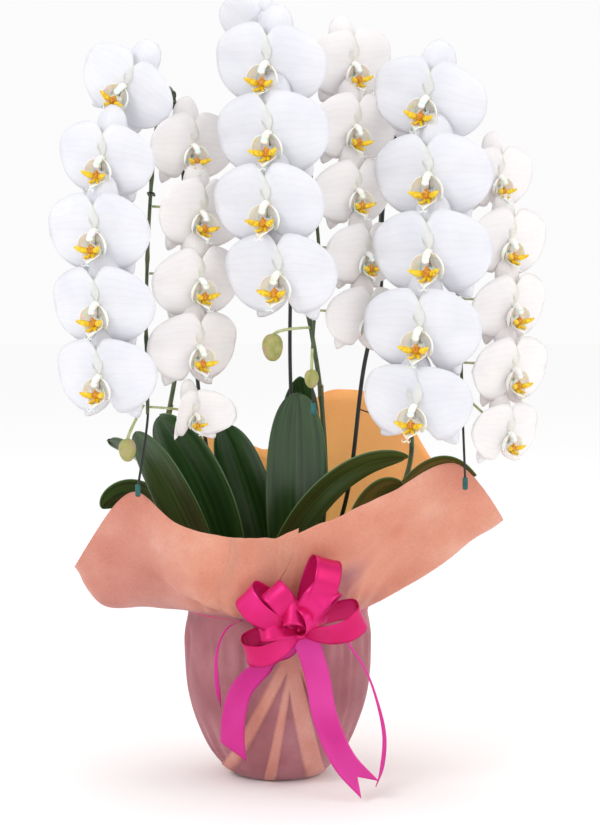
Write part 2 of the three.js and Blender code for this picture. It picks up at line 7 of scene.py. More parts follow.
import logging
import math
import random
from dataclasses import dataclass, field, replace
from enum import Enum
from typing import Callable, Iterable, Sequence

import bmesh
import bpy
from bmesh.types import BMesh
from bpy.types import Material, Node, NodeSocket, Object
from mathutils import Matrix, Vector, noise
from mathutils.geometry import interpolate_bezier


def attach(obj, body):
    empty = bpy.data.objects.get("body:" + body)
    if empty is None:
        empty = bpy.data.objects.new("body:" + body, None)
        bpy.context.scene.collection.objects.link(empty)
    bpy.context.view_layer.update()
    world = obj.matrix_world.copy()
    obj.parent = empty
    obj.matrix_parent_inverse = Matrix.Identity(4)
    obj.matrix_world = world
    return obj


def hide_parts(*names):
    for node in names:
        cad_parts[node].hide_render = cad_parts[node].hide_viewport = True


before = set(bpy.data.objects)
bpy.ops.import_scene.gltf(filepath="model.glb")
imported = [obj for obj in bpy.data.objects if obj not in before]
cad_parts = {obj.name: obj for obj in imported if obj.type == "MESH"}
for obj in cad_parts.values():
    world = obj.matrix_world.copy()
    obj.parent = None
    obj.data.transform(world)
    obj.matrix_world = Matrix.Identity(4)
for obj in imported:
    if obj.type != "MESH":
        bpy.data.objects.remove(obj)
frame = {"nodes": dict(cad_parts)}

log = logging.getLogger("orchid")
MM = 0.001
UP = Vector((0, 0, 1))
# The layer's deeper tone shows the sheet's darker sides, painted shade in folds and recesses, a painted
# shadow beside the bow and a painted pink sheen on the left flap.
FACE_AND_SHADE_LAYER = "fold"  # the layer that says how far each point of a sheet shows its deeper tone
TURN = 6.283  # radians in a turn of a pattern's wave
WELD = 2e-6  # metres within which corners of a mesh are the same point
Place = Callable[[float, float], Vector]
Triple = tuple[float, float, float]


# ---- Small helpers ----


def mm(x: float, y: float, z: float) -> Vector:
    """A point given in millimetres."""
    return Vector((x, y, z)) * MM


def points_of(rows: Iterable[Triple]) -> list[Vector]:
    """Points given in millimetres."""
    return [mm(*row) for row in rows]


def mix(a: float, b: float, t: float) -> float:
    """The value a share t of the way from a to b."""
    return a + (b - a) * t


def smooth(low: float, high: float, x: float) -> float:
    """0 below low, 1 above high, and a smooth rise between them."""
    t = min(max((x - low) / (high - low), 0.0), 1.0)
    return t * t * (3 - 2 * t)


def wobble(x: float, y: float, seed: float) -> float:
    """Soft noise between -1 and 1 that repeats for the same seed."""
    return noise.noise(Vector((x, y, seed * 7.31)))


def smooth_line(points: Sequence[Vector], steps: int = 12) -> list[Vector]:
    """Points along a smooth curve through the given ones.

    Args:
        points: the points it passes through.
        steps: how many points it has for each of them.

    Returns:
        The curve's points, from the first given one to the last.
    """
    ends = [2 * points[0] - points[1], *points, 2 * points[-1] - points[-2]]
    line: list[Vector] = []
    for a, b, c, d in zip(ends, ends[1:], ends[2:], ends[3:]):
        ab, bc, cd = (max((q - p).length, 1e-6) ** 0.5 for p, q in ((a, b), (b, c), (c, d)))
        leave = ((b - a) / ab - (c - a) / (ab + bc) + (c - b) / bc) * bc
        arrive = ((c - b) / bc - (d - b) / (bc + cd) + (d - c) / cd) * bc
        line += interpolate_bezier(b, b + leave / 3, c - arrive / 3, c, steps + 1)[:-1]
    return [*line, points[-1].copy()]


class Line:
    """A curve measured along its length, from 0 at its start to 1 at its end."""

    def __init__(self, points: Sequence[Vector]) -> None:
        """Keeps the points and how far along each one lies.

        Args:
            points: its points in order, in metres.
        """
        self.points = list(points)
        self.reach = [0.0]
        for a, b in zip(self.points, self.points[1:]):
            self.reach.append(self.reach[-1] + (b - a).length)
        self.length = self.reach[-1]

    def at(self, t: float) -> Vector:
        """The point a share t of the way along.

        Args:
            t: the share, which is held between 0 and 1.

        Returns:
            The point.
        """
        goal = min(max(t, 0.0), 1.0) * self.length
        low, high = 0, len(self.reach) - 1
        while high - low > 1:
            middle = (low + high) // 2
            low, high = (middle, high) if self.reach[middle] <= goal else (low, middle)
        span = max(self.reach[high] - self.reach[low], 1e-9)
        return self.points[low].lerp(self.points[high], (goal - self.reach[low]) / span)

    def along(self, t: float) -> Vector:
        """The direction of travel a share t of the way along."""
        step = 0.004
        return (self.at(t + step) - self.at(t - step)).normalized()

    def falling_at(self, height: float) -> Vector:
        """The point of the part past the highest one where it comes down to a height.

        Args:
            height: the height, in metres.

        Returns:
            The point, or the line's end where the line stays higher.
        """
        top = max(range(len(self.points)), key=lambda i: self.points[i].z)
        for a, b in zip(self.points[top:], self.points[top + 1 :]):
            if b.z <= height:
                return a.lerp(b, min(max((a.z - height) / max(a.z - b.z, 1e-9), 0.0), 1.0))
        return self.points[-1].copy()


def new_mesh() -> BMesh:
    """An empty mesh with a UV layer.

    Returns:
        The mesh.
    """
    bm = bmesh.new()
    bm.loops.layers.uv.verify()
    return bm


def patch(bm: BMesh, columns: int, rows: int, place: Place, finish: int = 0) -> list:
    """Adds a grid of quads and moves each corner to its place.

    Args:
        bm: the mesh that gets it.
        columns: quads across.
        rows: quads along.
        place: the point for (u, v), both from 0 to 1.
        finish: the material slot of its faces.

    Returns:
        The new vertices.
    """
    uv = bm.loops.layers.uv.verify()
    made = bmesh.ops.create_grid(bm, x_segments=columns, y_segments=rows, size=0.5)["verts"]
    flat = {v: (v.co.x + 0.5, v.co.y + 0.5) for v in made}
    for face in {f for v in made for f in v.link_faces}:
        face.material_index = finish
        face.smooth = True
        for loop in face.loops:
            loop[uv].uv = flat[loop.vert]
    for v, (x, y) in flat.items():
        v.co = place(x, y)
    return made


def thicken(bm: BMesh, thickness: float) -> None:
    """Gives an open sheet a thickness, with its faces outwards.

    Args:
        bm: the sheet, whose doubles are merged first.
        thickness: how thick it gets, in metres.
    """
    bmesh.ops.remove_doubles(bm, verts=bm.verts, dist=WELD)
    bmesh.ops.solidify(bm, geom=bm.faces[:], thickness=thickness)
    for face in bm.faces:
        face.smooth = True
    turn_out(bm)


def thin_sheet(columns: int, rows: int, place: Place, thickness: float, finish: int = 0) -> BMesh:
    """A patch of its own with a thickness.

    Args:
        columns: quads across.
        rows: quads along.
        place: the point for (u, v), both from 0 to 1.
        thickness: how thick it is, in metres.
        finish: the material slot of its faces.

    Returns:
        A closed thin mesh.
    """
    bm = bmesh.new()
    patch(bm, columns, rows, place, finish)
    thicken(bm, thickness)
    return bm


def turn_out(bm: BMesh) -> None:
    """Turns a closed shell's faces outwards if they face in."""
    if bm.calc_volume(signed=True) < 0:
        bmesh.ops.reverse_faces(bm, faces=bm.faces[:])


def rod(line: Line, radius: Callable[[float], float], sides: int, rings: int, finish: int = 0) -> BMesh:
    """A round bar along a line.

    Args:
        line: its middle.
        radius: its radius a share t of the way along.
        sides: how many faces go round it.
        rings: how many go along it.
        finish: the material slot of its faces.

    Returns:
        A mesh of its own with both ends closed.
    """
    across = line.along(0.0).orthogonal().normalized()
    turns: list[tuple[Vector, Vector, Vector]] = []
    for i in range(rings + 1):
        ahead = line.along(i / rings)
        across = (across - ahead * across.dot(ahead)).normalized()
        turns.append((line.at(i / rings), across.copy(), ahead.cross(across)))
    bm = bmesh.new()

    def place(u: float, v: float) -> Vector:
        """A point of the bar's surface.

        Args:
            u: the share of the way round it.
            v: the share of the way along it.

        Returns:
            The point.
        """
        middle, x, y = turns[round(v * rings)]
        angle = 2 * math.pi * u
        return middle + (x * math.cos(angle) + y * math.sin(angle)) * radius(v)

    patch(bm, sides, rings, place, finish)
    bmesh.ops.remove_doubles(bm, verts=bm.verts, dist=WELD)
    close(bm, finish)
    return bm


def close(bm: BMesh, finish: int = 0) -> None:
    """Closes a mesh's open ends and turns its faces outwards.

    Args:
        bm: the mesh.
        finish: the material slot of the faces that close it.
    """
    caps = bmesh.ops.holes_fill(bm, edges=[e for e in bm.edges if e.is_boundary])["faces"]
    for face in caps:
        face.material_index = finish
    bmesh.ops.recalc_face_normals(bm, faces=bm.faces[:])
    turn_out(bm)


def egg(middle: Vector, size: Vector, turn: Matrix, finish: int = 0, detail: int = 10) -> BMesh:
    """An egg-shaped solid.

    Args:
        middle: its middle.
        size: its half width, half depth and half height.
        turn: how it is turned, before it is moved.
        finish: the material slot of its faces.
        detail: faces round it.

    Returns:
        A mesh of its own.
    """
    bm = new_mesh()
    bmesh.ops.create_uvsphere(bm, u_segments=detail, v_segments=max(detail // 2 + 1, 5), radius=1.0)
    frame_of = Matrix.Translation(middle) @ turn.to_4x4() @ Matrix.Diagonal((*size, 1))
    bmesh.ops.transform(bm, matrix=frame_of, verts=bm.verts)
    for face in bm.faces:
        face.material_index = finish
        face.smooth = True
    return bm


def absorb(whole: BMesh, part: BMesh) -> None:
    """Moves a part's mesh into a whole and frees the part.

    Args:
        whole: the mesh that gets it.
        part: the mesh that is moved.
    """
    carrier = bpy.data.meshes.new("carrier")
    part.to_mesh(carrier)
    part.free()
    whole.from_mesh(carrier)
    bpy.data.meshes.remove(carrier)


def settle(name: str, bm: BMesh, finishes: Sequence[Material], in_cad: bool = True) -> Object:
    """Makes a finished piece of a mesh, at the origin, fixed to the pot.

    Args:
        name: the piece's name, which is also its CAD node's where it has one.
        bm: its mesh, which is freed.
        finishes: its materials, in slot order.
        in_cad: whether it stands for a CAD node.

    Returns:
        The piece.
    """
    node, name = name, f"{name}_finished" if in_cad else name
    mesh = bpy.data.meshes.new(name)
    bm.to_mesh(mesh)
    bm.free()
    for finish in finishes:
        mesh.materials.append(finish)
    piece = bpy.data.objects.new(name, mesh)
    bpy.context.scene.collection.objects.link(piece)
    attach(piece, "root")
    if in_cad:
        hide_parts(node)
    log.info("%s: %d faces", name, len(mesh.polygons))
    return piece


def subdivide(piece: Object, levels: int) -> None:
    """Rounds a piece off with a subdivision surface."""
    finer = piece.modifiers.new("rounding", "SUBSURF")
    finer.levels = finer.render_levels = levels


# ---- Finishes ----


def linear(code: str) -> tuple[float, float, float, float]:
    """An sRGB hex colour as linear values.

    Args:
        code: six hex digits.

    Returns:
        Red, green, blue and an alpha of 1.
    """
    shares = (int(code[i : i + 2], 16) / 255 for i in (0, 2, 4))
    r, g, b = (s / 12.92 if s <= 0.04045 else ((s + 0.055) / 1.055) ** 2.4 for s in shares)
    return r, g, b, 1.0


def add_node(material: Material, kind: str, settings: dict | None = None, **inputs) -> Node:
    """Adds a node to a material.

    Args:
        material: the material that gets it.
        kind: the node's type.
        settings: the node's own options.
        inputs: a value or an output socket for each input, by its name with _ for a space, or by its
            number as i0.

    Returns:
        The node.
    """
    node = material.node_tree.nodes.new(kind)
    for key, value in (settings or {}).items():
        setattr(node, key, value)
    for key, value in inputs.items():
        socket = node.inputs[int(key[1:])] if key[1:].isdigit() else node.inputs[key.replace("_", " ")]
        if isinstance(value, NodeSocket):
            material.node_tree.links.new(value, socket)
        else:
            socket.default_value = value
    return node


def add_math(material: Material, operation: str, *values) -> NodeSocket:
    """The result of a sum on values or sockets."""
    inputs = {f"i{i}": value for i, value in enumerate(values)}
    return add_node(material, "ShaderNodeMath", {"operation": operation}, **inputs).outputs[0]


def add_mix(material: Material, factor, low, high, blend: str = "MIX") -> NodeSocket:
    """The colour high over the colour low, as much as the factor says."""
    settings = {"data_type": "RGBA", "blend_type": blend}
    return add_node(material, "ShaderNodeMix", settings, i0=factor, i6=low, i7=high).outputs[2]


def add_noise(material: Material, vector: NodeSocket, scale: float, **more) -> NodeSocket:
    """Soft noise between 0 and 1."""
    return add_node(material, "ShaderNodeTexNoise", Vector=vector, Scale=scale, **more).outputs["Fac"]


def cover(
    material: Material, shader: Node, colour: NodeSocket, height: NodeSocket, strength: float, depth: float
) -> None:
    """Gives a shader its colour and a fine relief.

    Args:
        material: the material the shader is in.
        shader: the shader.
        colour: its colour.
        height: the pattern that the relief follows.
        strength: how strongly the relief shows, up to 1.
        depth: how deep the relief is, in mm.
    """
    relief = add_node(material, "ShaderNodeBump", Strength=strength, Distance=depth * MM, Height=height)
    material.node_tree.links.new(colour, shader.inputs["Base Color"])
    material.node_tree.links.new(relief.outputs["Normal"], shader.inputs["Normal"])


def add_ramp(material: Material, value: NodeSocket, stops: Sequence[tuple[float, str]]) -> NodeSocket:
    """A colour that goes through stops as a value rises.

    Args:
        material: the material that gets it.
        value: the value, from 0 to 1.
        stops: a position and an sRGB hex colour for each stop.

    Returns:
        The colour.
    """
    node = add_node(material, "ShaderNodeValToRGB", Fac=value)
    ramp = node.color_ramp
    while len(ramp.elements) < len(stops):
        ramp.elements.new(0.5)
    for element, (position, code) in zip(ramp.elements, stops):
        element.position = position
        element.color = linear(code)
    return node.outputs["Color"]


def new_material(name: str, **values) -> tuple[Material, Node]:
    """A material of one Principled shader.

    Args:
        name: the material's name.
        values: a value for each socket, by its name with _ for a space.

    Returns:
        The material and its shader.
    """
    material = bpy.data.materials.new(name)
    material.use_nodes = True
    shader = material.node_tree.nodes["Principled BSDF"]
    for key, value in values.items():
        shader.inputs[key.replace("_", " ")].default_value = value
    return material, shader


@dataclass(frozen=True)
class PetalFinish:
    """Waxy petal tissue: soft white, lit through, with faint veins and a green-cream heart."""

    name: str
    cool: str
    warm: str
    heart: str
    veins: float = 60.0  # across a petal

    def make(self) -> Material:
        """Builds the material. UV u runs across a lobe and v from its base to its tip.

        Returns:
            The material.
        """
        material, shader = new_material(
            self.name, Roughness=0.5, Specular_IOR_Level=0.35, Subsurface_Weight=0.25, Subsurface_Scale=0.004,
            Subsurface_Radius=(1.0, 0.9, 0.85), Sheen_Weight=0.12, Sheen_Roughness=0.5,
        )
        coordinates = add_node(material, "ShaderNodeTexCoord").outputs
        uv = add_node(material, "ShaderNodeSeparateXYZ", Vector=coordinates["UV"]).outputs
        cloud = add_noise(material, coordinates["Object"], 26.0, Detail=3.0)
        tissue = add_ramp(material, cloud, [(0.3, self.cool), (0.7, self.warm)])
        heart = add_ramp(material, uv["Y"], [(0.0, "404040"), (0.05, "a0a0a0"), (0.14, "ffffff")])
        base = add_mix(material, heart, linear(self.heart), tissue)
        spread = add_math(material, "MULTIPLY", uv["X"], self.veins)
        bent = add_math(material, "MULTIPLY_ADD", add_noise(material, coordinates["UV"], 5.0), 3.0, spread)
        vein = add_math(material, "SINE", bent)
        shade = add_ramp(material, vein, [(0.5, "ffffff"), (1.0, "fcfcfc")])
        cover(material, shader, add_mix(material, 1.0, base, shade, "MULTIPLY"), vein, 0.05, 0.6)
        return material


@dataclass(frozen=True)
class MottledFinish:
    """A surface of two or three tones in soft clouds, with fine relief."""

    name: str
    tones: tuple[str, ...]
    patch_size: float  # mm
    relief_size: float  # mm
    relief_depth: float = 0.2  # mm
    roughness: float = 0.5
    specular: float = 0.4
    through: float = 0.0
    coat: float = 0.0

    def make(self) -> Material:
        """Builds the material on Object coordinates.

        Returns:
            The material.
        """
        material, shader = new_material(
            self.name, Roughness=self.roughness, Specular_IOR_Level=self.specular,
            Subsurface_Weight=self.through, Subsurface_Scale=0.003, Coat_Weight=self.coat,
            Coat_Roughness=0.25,
        )
        spot = add_node(material, "ShaderNodeTexCoord").outputs["Object"]
        cloud = add_noise(material, spot, 1000 / self.patch_size, Detail=4.0)
        share = [0.32 + 0.36 * i / (len(self.tones) - 1) for i in range(len(self.tones))]
        colour = add_ramp(material, cloud, list(zip(share, self.tones)))
        grain = add_noise(material, spot, 1000 / self.relief_size, Detail=3.0)
        cover(material, shader, colour, grain, 0.6, self.relief_depth)
        return material


@dataclass(frozen=True)
class LeafFinish:
    """A thick, waxy leaf: dark green, parallel veins, a paler line at the midrib and a soft sheen."""

    name: str = "waxy_leaf_cuticle"
    dark: str = "16300f"
    light: str = "335724"
    midrib: str = "4b6a38"
    vein_count: float = 60.0

    def make(self) -> Material:
        """Builds the material. UV u runs across the blade and v from its foot to its tip.

        Returns:
            The material.
        """
        material, shader = new_material(
            self.name, Roughness=0.34, Specular_IOR_Level=0.5, Coat_Weight=0.3, Coat_Roughness=0.22
        )
        flat = add_node(material, "ShaderNodeTexCoord").outputs["UV"]
        uv = add_node(material, "ShaderNodeSeparateXYZ", Vector=flat).outputs
        long = add_node(material, "ShaderNodeMapping", Vector=flat, Scale=(6.0, 0.8, 1.0)).outputs[0]
        streak = add_noise(material, long, 2.2, Detail=3.0)
        flesh = add_ramp(material, streak, [(0.32, self.dark), (0.7, self.light)])
        rims = [(0.0, "ffffff"), (0.03, "000000"), (0.97, "000000"), (1.0, "ffffff")]
        rib = [(0.485, "000000"), (0.5, "bbbbbb"), (0.515, "000000")]
        base = add_mix(material, add_ramp(material, uv["X"], sorted(rims + rib)), flesh, linear(self.midrib))
        vein = add_math(material, "SINE", add_math(material, "MULTIPLY", uv["X"], self.vein_count * TURN))
        cover(material, shader, base, vein, 0.08, 0.4)
        return material


@dataclass(frozen=True)
class NonWovenFinish:
    """Spun-bonded wrapping sheet: matt, with a felted mesh of long fibres and pressed dots."""

    name: str
    tones: tuple[str, str, str]
    deep: tuple[str, str, str]  # the same where the sheet's other face or a fold's shade shows
    fibre: float = 0.9  # mm between fibres, twice the real spacing so that they show
    dots: float = 1.6  # mm between the pressed dots
    through: float = 0.0
    # painted_glow is an emission: a painted glow for daylight coming through the sheet from behind.
    painted_glow: float = 0.0  # daylight that comes through the sheet from behind

    def make(self) -> Material:
        """Builds the material on Object coordinates.

        Returns:
            The material.
        """
        material, shader = new_material(
            self.name, Roughness=0.72, Specular_IOR_Level=0.3, Sheen_Weight=0.35, Sheen_Roughness=0.35,
            Sheen_Tint=linear("ffd9e2"), Subsurface_Weight=self.through, Subsurface_Scale=0.002,
            Emission_Color=linear(self.tones[1]), Emission_Strength=self.painted_glow,
        )
        spot = add_node(material, "ShaderNodeTexCoord").outputs["Object"]
        cloud = add_noise(material, spot, 14.0, Detail=3.0)
        fibres = add_noise(material, spot, 1000 / self.fibre / 2, Detail=6.0, Roughness=0.75, Distortion=2.2)
        stops = (0.3, 0.52, 0.72)
        light, deep = (add_ramp(material, cloud, list(zip(stops, row))) for row in (self.tones, self.deep))
        # The layer mixes in the deeper tones, which hold painted shade, a painted shadow and a painted pink
        # sheen as well as the sheet's darker sides.
        face_and_painted_shade = add_node(material, "ShaderNodeAttribute", {"attribute_name": FACE_AND_SHADE_LAYER}).outputs["Fac"]
        tone = add_mix(material, face_and_painted_shade, light, deep)
        strands = add_ramp(material, fibres, [(0.34, "ddd6d6"), (0.5, "f6f4f4"), (0.68, "ffffff")])
        cells = add_node(material, "ShaderNodeTexVoronoi", Vector=spot, Scale=1000 / self.dots)
        felt = add_math(material, "MULTIPLY_ADD", cells.outputs["Distance"], 0.4, fibres)
        cover(material, shader, add_mix(material, 1.0, tone, strands, "MULTIPLY"), felt, 0.35, 0.5)
        return material


@dataclass(frozen=True)
class SatinFinish:
    """Woven satin ribbon: long floats give a bright band of sheen that runs across the ribbon."""

    name: str
    deep: str
    bright: str
    threads: float = 0.35  # mm between threads
    width: float = 24.0  # mm that the threads are spread over

    def make(self) -> Material:
        """Builds the material. UV u runs across the ribbon and v along it.

        Returns:
            The material.
        """
        material, shader = new_material(
            self.name, Metallic=0.45, Roughness=0.3, Specular_IOR_Level=0.6,
            Specular_Tint=linear("ffb4d8"), Anisotropic=0.5,
        )
        coordinates = add_node(material, "ShaderNodeTexCoord").outputs
        cloud = add_noise(material, coordinates["Object"], 18.0, Detail=1.0)
        colour = add_ramp(material, cloud, [(0.25, self.deep), (0.75, self.bright)])
        across = add_node(material, "ShaderNodeSeparateXYZ", Vector=coordinates["UV"]).outputs["X"]
        spread = add_math(material, "MULTIPLY", across, self.width / self.threads * TURN)
        cover(material, shader, colour, add_math(material, "SINE", spread), 0.12, 0.2)
        return material


class Finishes:
    """Every finish on the plant, its pot and its dressing."""

    def __init__(self) -> None:
        """Builds them all."""
        # Two copies of one petal tissue: a cooler white for the blooms that face left and a warmer one for
        # those that face right, as painted light for how each rank is lit.
        self.petal_cool_lit_left_facing = PetalFinish("waxy_white_petal_cool_light", "dbdce4", "e4e4ea", "e4e4dc").make()
        self.petal_warm_lit_right_facing = PetalFinish("waxy_white_petal_warm_light", "e9e4e5", "f0ebe9", "ebe8da").make()
        # The lip is thinner than a petal and tinged cream where it folds.
        lip = MottledFinish("lip_tissue", ("f4f1ea", "fbf9f5", "f2ead2"), 9, 1.5, 0.1, 0.42, through=0.5)
        # Wet-looking tissue in strong yellow, streaked deeper.
        wing = MottledFinish("yellow_lip_wing", ("cf9f0a", "ecc512", "f3da40"), 3, 0.8, 0.1, 0.4, 0.5, 0.2)
        # The lip's callus, orange with red specks.
        callus = MottledFinish("orange_callus", ("a8560e", "cf8014", "e5ae28"), 1.6, 0.6, 0.1, 0.4, 0.5, 0.1)
        # Flower stalks: pale green flesh, whiter near the flower.
        stalk = MottledFinish(
            "pale_flower_stalk", ("8f9f5d", "b5bd87", "c9cba4"), 8, 1.2, 0.1, 0.45, 0.4, 0.2
        )
        # Living spike stem: dark waxy green with a bronze flush.
        stem = MottledFinish(
            "waxy_spike_stem", ("2c3d20", "44592e", "5b5a34"), 16, 1.5, 0.15, 0.4, 0.5, coat=0.15
        )
        # Dry bracts at the spike's joints.
        bract = MottledFinish("dry_bract", ("5a5a30", "7d6c43", "93815a"), 5, 0.8, 0.15, 0.65)
        # Steel wire in dark green plastic, drawn smooth.
        stake = MottledFinish("plastic_coated_wire", ("121714", "1a211c", "222b24"), 20, 2.0, 0.05, 0.38, 0.5)
        # Moulded soft rubber cap.
        cap = MottledFinish("teal_rubber_cap", ("1c4f50", "24605f", "2c6c68"), 8, 0.8, 0.05, 0.55)
        # Moulded black plastic clip.
        clip = MottledFinish("black_moulded_plastic", ("0c0d0c", "151616", "1c1d1c"), 6, 0.6, 0.05, 0.42, 0.5)
        # A bud's closed sepals: olive with a tan flush.
        bud = MottledFinish("bud_skin", ("8c8f4d", "a5a261", "b0957c"), 10, 1.0, 0.1, through=0.15)
        # Long strands of sphagnum, dried straw over green.
        moss = MottledFinish("sphagnum_moss", ("4d4a26", "86784a", "b3a474"), 7, 0.9, 0.4, 0.95, 0.2)
        # Glazed stoneware.
        pot = MottledFinish("white_glaze", ("e4e0d6", "efece4", "f4f2ec"), 30, 6.0, 0.05, 0.18, 0.5, coat=0.3)
        # The sheet that shows: salmon, and mauve on the body's sides and as painted shade in its folds, its
        # recesses and beside the bow; the mauve also gives the left flap a painted pink sheen.
        wrap = NonWovenFinish(
            "salmon_spunbond", ("d98f77", "e3a088", "ebb49e"), ("8e5560", "a46873", "b67f8a"), through=0.15
        )
        # The sheet inside it, with lightened tones and a painted glow for the daylight that comes through it.
        liner = NonWovenFinish(
            "apricot_spunbond_painted_glow", ("f8ac68", "fab86e", "ffcb70"), ("f2a868", "f6b270", "fcc574"),
            through=0.3, painted_glow=0.2,
        )
        self.lip, self.wing, self.callus, self.stalk = (f.make() for f in (lip, wing, callus, stalk))
        self.stem, self.bract, self.bud, self.leaf = (f.make() for f in (stem, bract, bud, LeafFinish()))
        self.stake, self.cap, self.clip = (f.make() for f in (stake, cap, clip))
        self.moss, self.pot, self.wrap, self.liner = (f.make() for f in (moss, pot, wrap, liner))
        self.ribbon = SatinFinish("hot_pink_satin", "c8145c", "e0247c").make()
        # The same ribbon's duller back, in lighter tones that paint the light coming through it.
        self.ribbon_back_lit_through = SatinFinish("hot_pink_satin_back_lit_through", "c62a86", "d6429a").make()


# ---- Flowers ----


@dataclass(frozen=True)
class Lobe:
    """One petal or sepal of a bloom. Lengths are shares of the bloom's span."""

    angle: float  # of its middle line, degrees from +X
    length: float
    half: float  # half its width
    upper: float  # how full its upper or left side is; less is fuller
    lower: float
    depth: float = 0.0  # how far forward it is set
    point: float = 0.0  # how pointed its tip is
    reflex: float = 0.1  # how far its tip bends back
    trough: float = 0.05
    claw: float = 0.0  # how narrow its base is
    lean: float = 0.0  # how far its upper edge leans back over the middle
    skew: float = 1.0  # below 1 it is widest nearer its base

    def sheet(self, span: float, seed: float, lift: float, detail: int) -> BMesh:
        """Builds the lobe lying in the bloom's own frame, +Z forward.

        Args:
            span: the bloom's width.
            seed: varies its waves.
            lift: degrees its middle line is raised.
            detail: quads across it.

        Returns:
            A closed thin mesh.
        """
        raised = self.angle + (lift if math.cos(math.radians(self.angle)) > 0 else -lift)
        turn = math.radians(raised)
        ahead = Vector((math.cos(turn), math.sin(turn), 0))
        side = Vector((-ahead.y, ahead.x, 0))
        if ahead.x < -1e-3:
            side = -side

        def place(u: float, v: float) -> Vector:
            """A square spread to the lobe's outline.

            Args:
                u: the share across the square.
                v: the share of the way from its base to its tip.

            Returns:
                The point.
            """
            a, b = 2 * u - 1, 2 * v - 1
            x = a * math.sqrt(1 - b * b / 2)
            y = b * math.sqrt(1 - a * a / 2)
            t = x / max(math.sqrt(max(1 - y * y, 0)), 1e-4)
            far = (y + 1) / 2
            near = far**self.skew
            bell = max(4 * near * (1 - near), 0.0)
            full = mix(self.lower, self.upper, smooth(-0.6, 0.6, t))
            width = bell**full * (1 - self.point * far**1.7) * mix(1.0, smooth(-0.02, 0.3, far), self.claw)
            reach = self.length * far - self.lean * max(t, 0.0) ** 1.5 * (1 - far) * bell**0.3
            wave = 0.016 * wobble(2.2 * far + seed, 2.0 * t, seed)
            wave += 0.008 * wobble(6 * far, 5 * t + seed, seed + 3)
            z = self.depth - self.reflex * far**2.2 + self.trough * (abs(t) ** 1.4 - 0.35) * bell**0.5
            z -= 0.055 * abs(t) ** 3.5 * bell + 0.011 * math.exp(-((t / 0.2) ** 2)) * bell**0.5
            z += wave * far
            return (ahead * reach + side * (t * self.half * width) + Vector((0, 0, z))) * span

        return thin_sheet(detail, detail, place, 0.5 * MM)


@dataclass(frozen=True)
class Bearing:
    """How one bloom differs from its rank."""

    roll: float = 0.0  # degrees
    lift: float = 0.0  # degrees its petals are raised
    cup: float = 0.0  # how far forward they fold
    scale: float = 1.0


class Side(Enum):
    """The way a rank of blooms faces."""

    LEFT = -1
    RIGHT = 1


@dataclass(frozen=True)
class Rank:
    """A row of blooms down one side of a spike, in millimetres and degrees, as in the CAD."""

    side: Side
    top: float
    step: float
    yaw: float
    spans: tuple[float, ...]
    out: tuple[float, ...]
    forward: tuple[float, ...]


SEPAL = Lobe(
    angle=90, length=0.47, half=0.17, depth=-0.055, upper=0.5, lower=0.5, point=0.05, reflex=0.15,
    trough=-0.06,
)
LOW_SEPAL = replace(
    SEPAL, angle=-57, length=0.5, half=0.155, depth=-0.04, upper=0.58, lower=0.58, point=0.3, reflex=0.06
)
PETAL = Lobe(
    angle=-3, length=0.52, half=0.345, upper=0.4, lower=0.5, point=0.06, claw=0.5, lean=0.1, skew=0.66
)
LOBES = (
    SEPAL, LOW_SEPAL, replace(LOW_SEPAL, angle=-123, depth=-0.05),
    PETAL, replace(PETAL, angle=183, depth=0.01),
)


